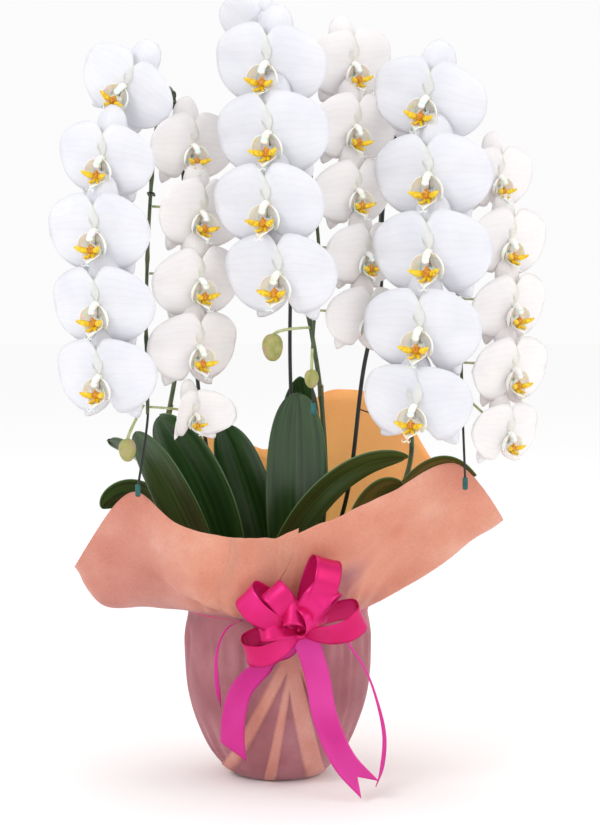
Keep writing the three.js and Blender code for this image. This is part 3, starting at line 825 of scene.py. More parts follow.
@dataclass
class Bloom:
    """An open moth orchid flower: three sepals, two broad petals, a three-lobed lip and its column."""

    name: str
    span: float
    place: Vector
    yaw: float
    nod: float
    root: Vector
    bearing: Bearing = Bearing()
    stalk_radius: float = 1.35 * MM
    detail: int = 12
    frame: Matrix = field(init=False)

    def __post_init__(self) -> None:
        """Works out the bloom's own frame: +Z out of its face and +Y up it."""
        turns = ((self.yaw, "Z"), (90 + self.nod, "X"), (self.bearing.roll, "Z"))
        yaw, nod, roll = (Matrix.Rotation(math.radians(angle), 4, axis) for angle, axis in turns)
        self.frame = Matrix.Translation(self.place) @ (yaw @ nod) @ roll

    def route(self, *shares: Triple, side: int = 1, steps: int = 4) -> Line:
        """A smooth line through points given as shares of the span, mirrored where side is -1."""
        points = [Vector((side * x, y, z)) * self.span for x, y, z in shares]
        return Line(smooth_line(points, steps))

    def lip_side(self, side: int) -> BMesh:
        """One of the two side lobes, which stand up and curl round the column.

        Args:
            side: -1 for the left one and 1 for the right one.

        Returns:
            A closed thin mesh.
        """
        radius = 0.128 * self.span
        middle = Vector((0.0, -0.125, 0.085)) * self.span

        def place(u: float, v: float) -> Vector:
            """A point of the cup that the two side lobes make.

            Args:
                u: from the cup's top round to its bottom.
                v: from its back to its rim.

            Returns:
                The point.
            """
            round_it = math.radians(mix(8, 158, u)) * side
            swell = math.sin(math.pi * mix(0.08, 0.97, u)) ** 0.55
            open_to = math.radians(mix(30, 96, swell)) * v
            stretch = 1 + 0.10 * v * swell
            return middle + Vector(
                (
                    math.sin(open_to) * math.sin(round_it) * radius * stretch,
                    math.sin(open_to) * math.cos(round_it) * radius * stretch,
                    -math.cos(open_to) * radius * 0.92,
                )
            )

        return thin_sheet(10, 7, place, 0.5 * MM, 1)

    def lip_tongue(self) -> BMesh:
        """The middle lobe: a spade that comes forward and down out of the cup.

        Returns:
            A closed thin mesh.
        """
        path = self.route((0, -0.15, -0.01), (0, -0.215, 0.06), (0, -0.25, 0.13), (0, -0.268, 0.2), steps=6)

        def place(u: float, v: float) -> Vector:
            """A point of the spade.

            Args:
                u: the share across it.
                v: the share of the way along it.

            Returns:
                The point.
            """
            t = 2 * u - 1
            width = (0.035 + 0.06 * math.sin(math.pi * v**1.3) ** 1.2) * self.span * (1 - 0.75 * v**5)
            lift = (0.035 * abs(t) ** 1.5 + 0.02 * (1 - v)) * self.span
            return path.at(v) + Vector((t * width, lift, 0))

        return thin_sheet(6, 8, place, 0.6 * MM, 1)

    def lip(self, whole: BMesh) -> None:
        """Adds the lip, its yellow wings, its callus and its two tendrils.

        Args:
            whole: the bloom's mesh.
        """
        s = self.span
        for side in (-1, 1):
            absorb(whole, self.lip_side(side))
            wing = self.route(
                (0.02, -0.166, 0.075), (0.055, -0.156, 0.11), (0.095, -0.136, 0.145), (0.132, -0.112, 0.165),
                side=side,
            )
            absorb(whole, rod(wing, lambda t: s * (0.009 + 0.02 * math.sin(math.pi * t**0.8)), 7, 7, 2))
            horn = self.route((0.008, -0.188, 0.08), (0.028, -0.21, 0.13), (0.056, -0.208, 0.165), side=side)
            absorb(whole, rod(horn, lambda t: s * 0.019 * (1.02 - t) ** 0.5, 6, 6, 2))
            tendril = self.route(
                (0.004, -0.266, 0.195), (0.026, -0.276, 0.21), (0.04, -0.26, 0.215), (0.034, -0.246, 0.2),
                side=side,
            )
            absorb(whole, rod(tendril, lambda t: s * 0.006 * (1.1 - t), 5, 8, 1))
        absorb(whole, self.lip_tongue())
        callus = (
            ((0, -0.155, 0.09), (0.042, 0.04, 0.036), 0.5),
            ((0, -0.125, 0.1), (0.018, 0.028, 0.018), -0.3),
        )
        for middle, size, tip in callus:
            absorb(whole, egg(Vector(middle) * s, Vector(size) * s, Matrix.Rotation(tip, 3, "X"), 3))

    def column(self, whole: BMesh) -> None:
        """Adds the column, which comes forward over the lip and ends in the anther cap.

        Args:
            whole: the bloom's mesh.
        """
        s = self.span
        line = self.route((0, 0, -0.03), (0, -0.006, 0.03), (0, -0.026, 0.078), (0, -0.052, 0.1), steps=5)
        absorb(whole, rod(line, lambda t: s * mix(0.026, 0.033, math.sin(math.pi * min(t, 1))), 10, 9, 1))
        absorb(whole, egg(line.at(1.0), Vector((0.033, 0.03, 0.027)) * s, Matrix.Rotation(0.6, 3, "X"), 1))

    def stalk(self, whole: BMesh) -> None:
        """Adds the stalk that runs from the back of the bloom to its spike.

        Args:
            whole: the bloom's mesh.
        """
        back = self.frame.inverted() @ self.root
        run = 14 * MM
        knee = Vector((back.x * 0.6, back.y * 0.6, min(back.z * 0.8, -run)))
        start = Vector((0, 0, -0.03 * self.span))
        line = Line(interpolate_bezier(start, Vector((0, 0, -run)), knee, back, 14))
        absorb(whole, rod(line, lambda t: self.stalk_radius * mix(1.25, 1.0, smooth(0, 0.5, t)), 7, 12, 4))

    def build(self, finishes: Finishes) -> Object:
        """Builds the bloom as one piece and puts it in its node's place.

        Args:
            finishes: the plant's finishes.

        Returns:
            The piece.
        """
        seed = sum(ord(c) * (i + 1) for i, c in enumerate(self.name)) % 97 * 0.173
        whole = new_mesh()
        span = self.span * self.bearing.scale
        for lobe in LOBES:
            absorb(whole, lobe.sheet(span, seed + lobe.angle * 0.01, self.bearing.lift, self.detail))
        if self.bearing.cup:
            for v in whole.verts:
                v.co.z += self.bearing.cup * (v.co.x**2) / span
        self.lip(whole)
        self.column(whole)
        self.stalk(whole)
        bmesh.ops.transform(whole, matrix=self.frame, verts=whole.verts)
        # Left-facing blooms get the cooler copy and right-facing ones the warmer: a painted tint of the light
        # on each rank.
        petal = finishes.petal_cool_lit_left_facing if self.yaw < 0 else finishes.petal_warm_lit_right_facing
        looks = (petal, finishes.lip, finishes.wing, finishes.callus, finishes.stalk)
        return settle(self.name, whole, looks)


# ---- Plants ----


@dataclass(frozen=True)
class PlantShape:
    """Where one plant stands and the lines its spike and stake follow, in millimetres, as in the CAD."""

    crown: tuple[float, float]
    path: tuple[Triple, ...]
    foot: tuple[float, float]
    run: tuple[Triple, ...]
    ranks: tuple[Rank, ...]
    end: Triple = (1, -2, -58)  # from the last point beside the spike to the stake's own end
    joins: int = 4
    stake_radius: float = 2.1


PLANTS: dict[str, PlantShape] = {
    "left": PlantShape(
        crown=(-40, 2),
        path=(
            (-46, 12, 196), (-84, 30, 270), (-122, 38, 350), (-112, 36, 440), (-100, 32, 560),
            (-104, 18, 680), (-114, -26, 742), (-124, -76, 706), (-131, -98, 620), (-135, -106, 510),
            (-134, -110, 402),
        ),
        foot=(-38, 34),
        run=((-70, 44, 300), (-90, 36, 440)),
        end=(-10, -13, -76),
        ranks=(
            Rank(Side.LEFT, 740, 74, -27, (98, 100, 106, 106, 102),
                 (34, 50, 52, 48, 46), (112, 132, 144, 148, 148)),
            Rank(Side.RIGHT, 680, 69, 36, (94, 96, 98, 98, 66),
                 (40, 54, 56, 55, 50), (92, 108, 116, 118, 122)),
        ),
    ),
    "centre": PlantShape(
        crown=(12, 22),
        path=(
            (26, 34, 196), (50, 40, 290), (48, 40, 400), (32, 40, 512), (16, 36, 640), (14, 16, 742),
            (16, -28, 790), (24, -76, 752), (34, -98, 660), (44, -106, 560), (38, -108, 490), (36, -110, 452),
        ),
        foot=(32, 48),
        run=((19, 50, 320), (13, 50, 450)),
        end=(2, -2, -42),
        ranks=(
            Rank(Side.LEFT, 762, 71, -26, (112, 112, 112, 112),
                 (32, 38, 48, 42), (124, 140, 148, 150)),
            Rank(Side.RIGHT, 764, 65, 34, (94, 94, 92, 88, 84),
                 (58, 52, 47, 50, 54), (88, 104, 112, 112, 112)),
        ),
    ),
    "right": PlantShape(
        crown=(50, -4),
        path=(
            (64, 8, 196), (112, 22, 262), (146, 28, 345), (134, 32, 430), (112, 34, 530), (116, 26, 640),
            (138, -18, 728), (160, -74, 696), (178, -98, 610), (188, -106, 510), (192, -110, 424),
        ),
        foot=(38, 42),
        run=((76, 42, 300), (94, 42, 440)),
        end=(4, -2, -92),
        ranks=(
            Rank(Side.LEFT, 727, 78, -24, (110, 114, 116, 114, 106),
                 (4, 16, 28, 44, 52), (128, 146, 158, 162, 162)),
            Rank(Side.RIGHT, 648, 66, 38, (86, 94, 94, 94, 82),
                 (60, 60, 58, 54, 48), (96, 108, 116, 120, 124)),
        ),
        stake_radius=2.4,
    ),
}

BEARINGS: dict[str, Bearing] = {
    "blossom_left_l1": Bearing(roll=-34),
    "blossom_left_l2": Bearing(roll=-8),
    "blossom_left_r5": Bearing(cup=1.5, lift=10),
    "blossom_centre_top": Bearing(roll=-40, cup=1.0, lift=12),
    "blossom_centre_l1": Bearing(roll=-6),
    "blossom_centre_r1": Bearing(roll=6, lift=6),
    "blossom_right_l1": Bearing(roll=-12),
    "blossom_right_l5": Bearing(roll=-4, lift=14),
    "blossom_right_r5": Bearing(lift=8),
}


@dataclass
class Spike:
    """A flower spike on the short stem its leaves grow from, with its joints and their bracts."""

    side: str
    shape: PlantShape
    radius: float = 3.0 * MM
    crown_radius: float = 9.0 * MM
    crown_height: float = 30.0 * MM
    moss_top: float = 159.5 * MM
    line: Line = field(init=False)

    def __post_init__(self) -> None:
        """Works out the spike's middle line."""
        start = mm(*self.shape.crown, 0) + UP * (self.moss_top + 0.6 * self.crown_height)
        self.line = Line(smooth_line([start, *points_of(self.shape.path)]))

    def build(self, finishes: Finishes) -> Object:
        """Builds the stem, its joints and the crown as one growth.

        Args:
            finishes: the plant's finishes.

        Returns:
            The piece.
        """
        whole = new_mesh()
        joints = [0.07 + 0.085 * i for i in range(11)]

        def girth(t: float) -> float:
            """Thins towards the tip and swells at each joint."""
            swell = sum(math.exp(-(((t - j) / 0.006) ** 2)) for j in joints)
            return self.radius * (mix(1.0, 0.55, t) + 0.22 * swell)

        absorb(whole, rod(self.line, girth, 10, 220))
        for i, joint in enumerate(joints[:5]):
            absorb(whole, self.bract(joint, i))
        foot = mm(*self.shape.crown, 0) + UP * (self.moss_top + 0.6 * MM)
        trunk = Line([foot, foot + UP * self.crown_height * 0.5, foot + UP * self.crown_height])

        def stout(t: float) -> float:
            """Narrows upwards, with rings where leaves have fallen."""
            return self.crown_radius * mix(1.0, 0.66, t) * (1 + 0.06 * math.sin(t * 25))

        absorb(whole, rod(trunk, stout, 14, 16))
        return settle(f"spike_{self.side}", whole, (finishes.stem, finishes.bract))

    def bract(self, t: float, index: int) -> BMesh:
        """A dry scale that wraps a joint and points up the stem.

        Args:
            t: where it sits, as a share of the spike's length.
            index: its number, which turns it about the stem.

        Returns:
            A closed thin mesh.
        """
        middle, ahead = self.line.at(t), self.line.along(t)
        x = ahead.orthogonal().normalized()
        x.rotate(Matrix.Rotation(index * 2.6, 3, ahead))
        y = ahead.cross(x)

        def place(u: float, v: float) -> Vector:
            """A point of the scale, which closes to a point.

            Args:
                u: the share of the way round the stem.
                v: the share of the way up it.

            Returns:
                The point.
            """
            angle = (u - 0.5) * 3.6 * (1 - v) ** 0.6
            out = self.radius * (1.12 + 0.2 * v)
            return middle + (x * math.cos(angle) + y * math.sin(angle)) * out + ahead * v * 13 * MM

        return thin_sheet(6, 5, place, 0.35 * MM, 1)


@dataclass
class Stake:
    """The bent wire that carries a spike, its rubber cap and the clips and ties on it."""

    spike: Spike
    clearance: float = 7.2 * MM
    cap_radius: float = 2.8 * MM
    tie_heights: tuple[float, float] = (0.39, 0.378)  # where the tie holds the stake and the spike
    line: Line = field(init=False)

    def __post_init__(self) -> None:
        """Works out the stake's middle line: up out of the moss, inside the spike's arch and past its tip."""
        shape, moss_top = self.spike.shape, self.spike.moss_top
        bend = Line(smooth_line(points_of(shape.path)[shape.joins :]))
        beside: list[Vector] = []
        for i in range(15):
            ahead = bend.along(i / 14)
            inward = Vector((0, -ahead.z, ahead.y)).normalized()
            beside.append(bend.at(i / 14) + inward * self.clearance)
        foot = mm(*shape.foot, 0)
        below = [foot + UP * (moss_top + d * MM) for d in (-108, -50, 0, 12)]
        end = beside[-1] + mm(*shape.end)
        self.line = Line(smooth_line([*below, *points_of(shape.run), *beside, end]))

    def build(self, finishes: Finishes) -> list[Object]:
        """Builds the wire, its cap and its clips.

        Args:
            finishes: the plant's finishes.

        Returns:
            The wire, its cap and its clips.
        """
        side = self.spike.side
        thick = self.spike.shape.stake_radius * MM
        wire = rod(self.line, lambda t: mix(thick, 1.3 * MM, smooth(0.6, 0.8, t)), 10, 240)
        pieces = [settle(f"stake_{side}", wire, (finishes.stake,))]
        end = self.line.at(1.0) + UP * 4 * MM
        cap = Line([end, end - UP * 6.5 * MM, end - UP * 12.5 * MM, end - UP * 13 * MM])

        def swell(t: float) -> float:
            """Rounded at both ends."""
            return self.cap_radius * (1 - 0.75 * smooth(0.9, 1.05, t)) * (0.82 + 0.18 * smooth(0, 0.1, t))

        shape = rod(cap, swell, 14, 20)
        pieces.append(settle(f"stake_cap_{side}", shape, (finishes.cap,), in_cad=False))
        clips = new_mesh()
        bend = Line(smooth_line(points_of(self.spike.shape.path)[self.spike.shape.joins :]))
        for t in (0.33, 0.6, 0.9):
            absorb(clips, self.clip(bend, t))
        if side == "right":
            absorb(clips, self.tie())
        pieces.append(settle(f"clips_{side}", clips, (finishes.clip,), in_cad=False))
        return pieces

    def tie(self) -> BMesh:
        """A thin wire that ties the rising stake to the rising spike.

        Returns:
            A mesh of its own.
        """
        start, end = (
            min(line.points, key=lambda p, z=height: abs(p.z - z) + (1 if p.y < 0 else 0))
            for line, height in zip((self.line, self.spike.line), self.tie_heights)
        )
        return rod(Line([start, start.lerp(end, 0.5) - UP * 1.5 * MM, end]), lambda _: 0.8 * MM, 6, 12)

    def clip(self, bend: Line, t: float) -> BMesh:
        """A sprung plastic clip round spike and stake, with two finger tabs.

        Args:
            bend: the part of the spike that the stake follows.
            t: where the clip sits, as a share of that part.

        Returns:
            A mesh of its own.
        """
        ahead = bend.along(t)
        inward = Vector((0, -ahead.z, ahead.y)).normalized()
        across = ahead.cross(inward).normalized()
        middle = bend.at(t) + inward * self.clearance / 2
        ring = [middle + (inward * math.cos(a) * 6.9 + across * math.sin(a) * 3.6) * MM
                for a in (2 * math.pi * i / 24 for i in range(25))]
        whole = new_mesh()
        absorb(whole, rod(Line(ring), lambda _: 0.9 * MM, 6, 24))
        for side in (-1, 1):
            tab = Line([middle + inward * 6.6 * MM, middle + (inward * 11 + across * side * 3) * MM])
            absorb(whole, rod(tab, lambda k: mix(0.9, 1.5, k) * MM, 6, 3))
        return whole


@dataclass
class Bud:
    """An unopened flower on its stalk."""

    name: str
    spike: Spike
    height: float
    place: Vector
    size: float

    def build(self, finishes: Finishes) -> Object:
        """Builds the closed sepals, with their seams, and the stalk.

        Args:
            finishes: the plant's finishes.

        Returns:
            The piece.
        """
        whole = new_mesh()
        root = self.spike.line.falling_at(self.height)
        top = self.place + UP * self.size * 0.9
        toward = Vector((top.x - root.x, top.y - root.y, 0)).normalized()
        start = root + toward * 4 * MM
        rise = top + UP * 8 * MM
        stalk = Line([start.lerp(rise, t).lerp(rise.lerp(top, t), t) for t in (i / 14 for i in range(15))])

        def place(u: float, v: float) -> Vector:
            """A point of the bud's skin, with a seam between each two of its three sepals.

            Args:
                u: the share of the way round it.
                v: the share of the way from its foot to its tip.

            Returns:
                The point.
            """
            angle, rise_angle = 2 * math.pi * u, math.pi * v
            seam = 1 - 0.05 * abs(math.cos(1.5 * angle)) ** 6 * math.sin(rise_angle)
            plump = math.sin(rise_angle) ** 0.86 * (1 + 0.12 * math.cos(rise_angle)) * seam
            x, y = math.cos(angle) * plump * 0.88, math.sin(angle) * plump * 0.82
            return self.place + Vector((x, y, math.cos(rise_angle) * 1.14)) * self.size

        body = bmesh.new()
        patch(body, 24, 14, place)
        bmesh.ops.remove_doubles(body, verts=body.verts, dist=WELD)
        close(body)
        absorb(whole, body)
        absorb(whole, rod(stalk, lambda t: 1.4 * MM * mix(0.9, 1.25, t), 8, 14, 1))
        return settle(self.name, whole, (finishes.bud, finishes.stalk))


@dataclass
class Leaf:
    """A strap leaf: it rises from its crown, arches over and ends in a blunt tip."""

    name: str
    start: Triple
    over: Triple
    tip: Triple
    side: Triple
    width: float
    columns: int = 12
    rows: int = 30

    def build(self, finishes: Finishes) -> Object:
        """Builds the blade, folded along its midrib, about 2 mm thick.

        Args:
            finishes: the plant's finishes.

        Returns:
            The piece.
        """
        start, over, tip = points_of((self.start, self.over, self.tip))
        line = Line([start.lerp(over, t).lerp(over.lerp(tip, t), t) for t in (i / 60 for i in range(61))])
        side = Vector(self.side).normalized()
        seed = sum(map(ord, self.name)) * 0.13
        # The fold opens to the blade's upper face, which turns to the front where the blade stands upright.
        sign = -1 if line.along(0.5).cross(side).dot(Vector((0, -0.6, 1))) < 0 else 1

        def place(u: float, v: float) -> Vector:
            """A point of the blade, whose rows are closer towards the tip.

            Args:
                u: the share across it.
                v: the share of the way from its foot to its tip.

            Returns:
                The point.
            """
            t = 1 - (1 - v) ** 1.7
            ahead = line.along(t)
            across = (side - ahead * side.dot(ahead)).normalized()
            up = ahead.cross(across)
            swell = 0.24 + 0.8 * math.sin(min(t / 0.59, 1) * math.pi / 2)
            half = self.width * MM / 2 * swell * math.sqrt(max(1 - t**6.5, 0))
            half *= 1 + 0.03 * wobble(3 * t, 1, seed)
            k = 2 * u - 1
            fold = abs(k) ** 1.25 * half * 0.34 * (1 - 0.45 * t)
            droop = -0.11 * half * abs(k) ** 3 * smooth(0.3, 1.0, t)
            wave = 1.6 * MM * wobble(4 * t, 1.4 * k, seed) * smooth(0.1, 0.5, t)
            return line.at(t) + across * (k * half) + up * (sign * (fold + droop) + wave)

        blade = thin_sheet(self.columns, self.rows, place, 1.9 * MM)
        leaf = settle(self.name, blade, (finishes.leaf,))
        subdivide(leaf, 1)
        return leaf


LEAVES = (
    Leaf("leaf_left_1", (-57, -7, 164), (-94, -48, 300), (-150, -68, 380), (0.75, -0.5, 0.45), 50),
    Leaf("leaf_left_2", (-41, -12, 170), (-66, -12, 312), (-128, -22, 393), (0.88, -0.35, 0.32), 68),
    Leaf("leaf_left_3", (-56, 18, 162), (-130, 52, 344), (-188, 42, 360), (-0.4, -0.6, 0.7), 44),
    Leaf("leaf_left_4", (-59, 6, 161), (-130, -18, 352), (-189, -22, 294), (-0.4, -0.6, 0.7), 50),
    Leaf("leaf_left_5", (-44, 28, 162), (-112, 80, 322), (-156, 74, 344), (-0.4, -0.6, 0.7), 28),
    Leaf("leaf_left_6", (-30, -11, 166), (36, -64, 362), (138, -58, 353), (-0.55, -0.45, 0.7), 34),
    Leaf("leaf_centre_1", (17, 6, 166), (21, -10, 300), (21, -4, 417), (1, 0, 0), 66),
    Leaf("leaf_centre_2", (-4, 15, 166), (-20, 16, 290), (-60, 16, 380), (0.95, -0.25, 0.1), 58),
    Leaf("leaf_centre_3", (6, 42, 168), (22, 112, 330), (26, 76, 428), (1, 0, 0), 52),
    Leaf("leaf_centre_4", (-12, 34, 162), (-34, 74, 300), (-56, 96, 350), (1, 0.5, 0), 54),
    Leaf("leaf_right_1", (58, -19, 163), (90, -46, 342), (136, -50, 320), (-0.4, -0.6, 0.7), 48),
    Leaf("leaf_right_2", (64, -5, 162), (150, -14, 392), (213, -26, 330), (-0.4, -0.65, 0.65), 38),
    Leaf("leaf_right_3", (62, 5, 160), (130, 50, 246), (176, 62, 294), (-0.4, 1, 0.1), 50),
)


# ---- Pot, moss and wrap ----


@dataclass
class Pot:
    """The glazed pot and the moss that fills it."""

    height: float = 160 * MM
    base_radius: float = 44 * MM
    rim_radius: float = 92 * MM
    wall: float = 6 * MM
    floor: float = 9 * MM
    lift: float = 1.5 * MM
    moss_top: float = 151.5 * MM
    moss_dome: float = 8 * MM
    strands: int = 420

    def radius(self, height: float) -> float:
        """The radius of the pot's outside at a height above its base."""
        return mix(self.base_radius, self.rim_radius, math.sqrt(height / self.height))

    def build_pot(self, finishes: Finishes) -> Object:
        """Spins the pot's profile.

        Args:
            finishes: the plant's finishes.

        Returns:
            The piece.
        """
        shares = (0.02, 0.05, 0.1, 0.18, 0.3, 0.45, 0.6, 0.8, 0.95)
        outside = [(self.radius(k * self.height), k * self.height) for k in shares]
        inside = [(r - self.wall, z) for r, z in outside if z > self.floor * 1.5]
        rim, top, soft = self.rim_radius, self.height, 1 * MM
        profile = [
            (0, 0), (self.base_radius, 0), *outside, (rim + soft, top - 5 * soft), (rim + soft, top - soft),
            (rim, top), (rim - self.wall + soft, top), (rim - self.wall, top - soft), *reversed(inside),
            (self.radius(self.floor) - self.wall - 6 * MM, self.floor), (0, self.floor),
        ]
        bm = new_mesh()
        corners = [bm.verts.new((r, 0, z + self.lift)) for r, z in profile]
        edges = [bm.edges.new(pair) for pair in zip(corners, corners[1:])]
        bmesh.ops.spin(
            bm, geom=[*corners, *edges], cent=(0, 0, 0), axis=UP, angle=2 * math.pi, steps=72, use_merge=True
        )
        bmesh.ops.remove_doubles(bm, verts=bm.verts, dist=1e-6)
        bmesh.ops.recalc_face_normals(bm, faces=bm.faces)
        turn_out(bm)
        for face in bm.faces:
            face.smooth = True
        return settle("pot", bm, (finishes.pot,))

    def build_moss(self, finishes: Finishes) -> Object:
        """Builds the moss as a lumpy mound with loose strands on it.

        Args:
            finishes: the plant's finishes.

        Returns:
            The piece.
        """
        edge = self.radius(0.93 * self.height) - self.wall - 1.5 * MM
        low = self.moss_top - 30 * MM
        whole = new_mesh()

        def ground(x: float, y: float) -> float:
            """The height of the mound's surface.

            Args:
                x: metres to the right.
                y: metres to the back.

            Returns:
                The height, in metres.
            """
            share = min(math.hypot(x, y) / edge, 1)
            lump = wobble(x * 90, y * 90, 2.0) * 2.2 + wobble(x * 260, y * 260, 5.0) * 1.1
            dome = self.moss_top + self.moss_dome * (1 - share**2)
            return dome + lump * MM * (1 - share**6) - 3 * MM * share**6

        def place(u: float, v: float) -> Vector:
            """A point of the mound.

            Args:
                u: the share of the way round it.
                v: from the middle of its top out and down its side.

            Returns:
                The point.
            """
            angle, out = 2 * math.pi * u, min(v / 0.86, 1) * edge
            if v >= 0.9:
                out = edge - (2 * MM if v < 0.99 else edge - 1e-5)
                return Vector((out * math.cos(angle), out * math.sin(angle), low))
            x, y = out * math.cos(angle), out * math.sin(angle)
            return Vector((x, y, ground(x, y)))

        mound = bmesh.new()
        patch(mound, 72, 30, place)
        bmesh.ops.remove_doubles(mound, verts=mound.verts, dist=2e-5)
        close(mound)
        absorb(whole, mound)
        draw = random.Random(11)
        for _ in range(self.strands):
            angle, out = draw.uniform(0, 2 * math.pi), edge * 0.95 * math.sqrt(draw.random())
            way, length = draw.uniform(0, 2 * math.pi), draw.uniform(7, 17) * MM
            x, y = out * math.cos(angle), out * math.sin(angle)
            points = []
            for k in (0.0, 0.35, 0.7, 1.0):
                px, py = x + length * k * math.cos(way + k), y + length * k * math.sin(way + k)
                scale = min(1.0, edge * 0.98 / max(math.hypot(px, py), 1e-6))
                px, py = px * scale, py * scale
                lift = 0.4 + 3.2 * math.sin(math.pi * k) * draw.random()
                points.append(Vector((px, py, ground(px, py) + lift * MM)))
            absorb(whole, rod(Line(points), lambda t: 0.75 * MM * (1.1 - 0.6 * t), 4, 4))
        return settle("moss", whole, (finishes.moss,))


WRAP_EDGE = (
    (0, 125, 271), (38, 158, 286), (56, 180, 321), (77, 223, 235), (106, 176, 266), (147, 158, 372),
    (173, 134, 338), (202, 164, 404), (221, 189, 396), (242, 202, 326), (264, 214, 284), (284, 248, 286),
    (297, 207, 350), (314, 166, 322), (334, 141, 297), (360, 125, 271),
)
# The outline of the body, from the middle of the base up to the neck: distance out and height.
WRAP_BODY = (
    (1, 0.9), (40, 0.9), (46, 1.4), (52, 5), (72, 27), (89, 62), (97, 90), (100, 112), (101, 140),
    (100, 163), (97.5, 176), (97.5, 182), (99, 186),
)
# The fan of pleats under the bow: each wedge runs from its point down to two points, seen from the front.
FAN_TENT = ((21, 180), (-62, 10), (76, 30))
FAN_RECESSES = (
    ((14, 140), (-43, 22), (-12, 6)),
    ((13, 117), (-5, 0), (32, 6)),
    ((19, 146), (47, 12), (64, 30)),
)


@dataclass
class Wrap:
    """The non-woven sheet wound round the pot, tied at the neck and flared, and the layer inside it."""

    neck_radius: float = 99.0
    neck_height: float = 186.0
    columns: int = 320
    body_rows: int = 118
    crowding: float = 0.5  # how much closer the columns stand at the front than halfway round
    flare_rows: int = 26
    overlap: float = 30.0  # degrees that the sheet's end laps over its start
    edge: list[Vector] = field(init=False)

    def __post_init__(self) -> None:
        """Smooths the edge and the body's outline."""
        self.edge = smooth_line([Vector(p) for p in WRAP_EDGE], 16)
        self.body = Line(smooth_line([Vector((r, 0, z)) for r, z in WRAP_BODY], 8))

    def edge_at(self, bearing: float) -> tuple[float, float]:
        """How far out and how high the edge is.

        Args:
            bearing: the bearing from the front by the left, in degrees.

        Returns:
            The distance out and the height, in mm.
        """
        bearing %= 360
        for a, b in zip(self.edge, self.edge[1:]):
            if b.x >= bearing:
                t = (bearing - a.x) / max(b.x - a.x, 1e-6)
                return mix(a.y, b.y, t), mix(a.z, b.z, t)
        return self.edge[-1].y, self.edge[-1].z

    def pleat(self, bearing: float, sharp: float, seed: float) -> float:
        """A row of uneven soft-backed pleats.

        Args:
            bearing: the bearing from the front by the left, in degrees.
            sharp: how pointed they are; less is squarer.
            seed: varies them.

        Returns:
            How far out the sheet stands, between -1 and 1.
        """
        turn = math.radians(bearing)
        shift = 2.4 * wobble(math.cos(turn) * 1.7, math.sin(turn) * 1.7, seed)
        saw = math.sin(turn * 13 + shift * 2.2)
        fine = math.sin(turn * 29 + shift * 4)
        strength = 0.55 + 0.45 * wobble(math.cos(turn) * 3, math.sin(turn) * 3, seed + 4)
        return (math.copysign(abs(saw) ** sharp, saw) * 0.7 + 0.3 * fine) * strength

    def inside(self, x: float, z: float, wedge: tuple, soft: float = 2.8) -> float:
        """How far a point seen from the front is inside a wedge.

        Args:
            x: mm to the right.
            z: mm up.
            wedge: its upper point and its two lower ones.
            soft: mm over which it rises from 0 to 1.

        Returns:
            0 at its outline and outside it, up to 1.
        """
        (ax, az), (lx, lz), (rx, rz) = wedge
        down = az - z
        if down <= 0:
            return 0.0
        left = ax + (lx - ax) * down / (az - lz)
        right = ax + (rx - ax) * down / (az - rz)
        return smooth(0, soft, x - left) * smooth(0, soft, right - x)

    def fan(self, x: float, z: float) -> tuple[float, float]:
        """The fan of pleats in front.

        Args:
            x: mm to the right.
            z: mm up.

        Returns:
            How far it stands out, in mm, and how much of its deeper tone shows, which deepens in the recesses
            as painted shade.
        """
        tent = self.inside(x, z, FAN_TENT)
        recess = max(self.inside(x, z, wedge) for wedge in FAN_RECESSES)
        ridge = 0.0
        for wedge in FAN_RECESSES:
            ridge = max(ridge, self.inside(x, z, wedge, 5.0) * (1 - self.inside(x, z, wedge, 12.0)))
        return tent * (3.6 - 4.2 * recess + 0.8 * ridge), mix(1.0, recess, tent)

    def knee_at(self, bearing: float, height: float) -> tuple[float, float]:
        """Where the flare bends up: its share of the way out, and its height over the neck in mm."""
        left = smooth(0.0, 1.0, 0.5 + 0.5 * math.sin(math.radians(bearing)))
        return mix(0.5, 0.66, left), mix(0.4 * (height - self.neck_height), 2, left)

    def crease(self, bearing: float, t: float) -> float:
        """The long rolled ridges on the front flaps and the left flap's hanging lobe.

        Args:
            bearing: the bearing from the front by the left, in degrees.
            t: the share of the way out from the neck.

        Returns:
            How far they stand up, in mm.
        """
        turn = (bearing + 180) % 360 - 180
        left = mix(0.1, 0.86, smooth(30, 84, turn))
        right = mix(0.12, 0.8, smooth(34, 80, -turn))
        ridges = (
            (-15.0, 0.64, 0.24, turn, (48, 70, 98, 116)),
            (7.0, left, 0.13, turn, (22, 38, 54, 70)),
            (2.5, right, 0.12, -turn, (24, 44, 80, 100)),
        )
        return sum(
            height * math.exp(-(((t - middle) / width) ** 2)) * smooth(a, b, way) * (1 - smooth(c, d, way))
            for height, middle, width, way, (a, b, c, d) in ridges
        )

    def face_and_painted_shade_at(self, bearing: float, v: float) -> float:
        """How much of the sheet's deeper tone shows at a point: deeper on the body's sides and at the flare's
        root, painted shade in the fan's recesses, a painted shadow to the right of the bow and a painted pink
        sheen on the left flap.

        Args:
            bearing: the bearing from the front by the left, in degrees.
            v: below 0.5 it goes up the body and above 0.5 up the flare.

        Returns:
            The share of the deeper tone.
        """
        if v > 0.5:
            t = (v - 0.5) * 2
            turn = math.radians(bearing)
            # A painted pink sheen on the left flap, fading outwards.
            left = smooth(0.5, 1.0, math.sin(turn)) * 0.6
            # A painted shadow to the right of the bow, where the outer layers overlap.
            shade = math.exp(-((((bearing % 360) - 329) / 14) ** 4)) * (1 - smooth(0.42, 0.6, t))
            # Darker at the flare's root by the neck.
            return min(1.0, left * (1 - 0.6 * t) + 0.8 * shade + 0.4 * (1 - smooth(0.0, 0.25, t)))
        # The body: deeper on the sides, light on the fan's strips and painted shade in its recesses.
        turn = math.radians(bearing)
        spot = self.body.at(v * 2)
        front = smooth(0.0, 0.3, math.cos(turn))
        return mix(0.62, 0.3 + 0.62 * self.fan(-spot.x * math.sin(turn), spot.z)[1], front)

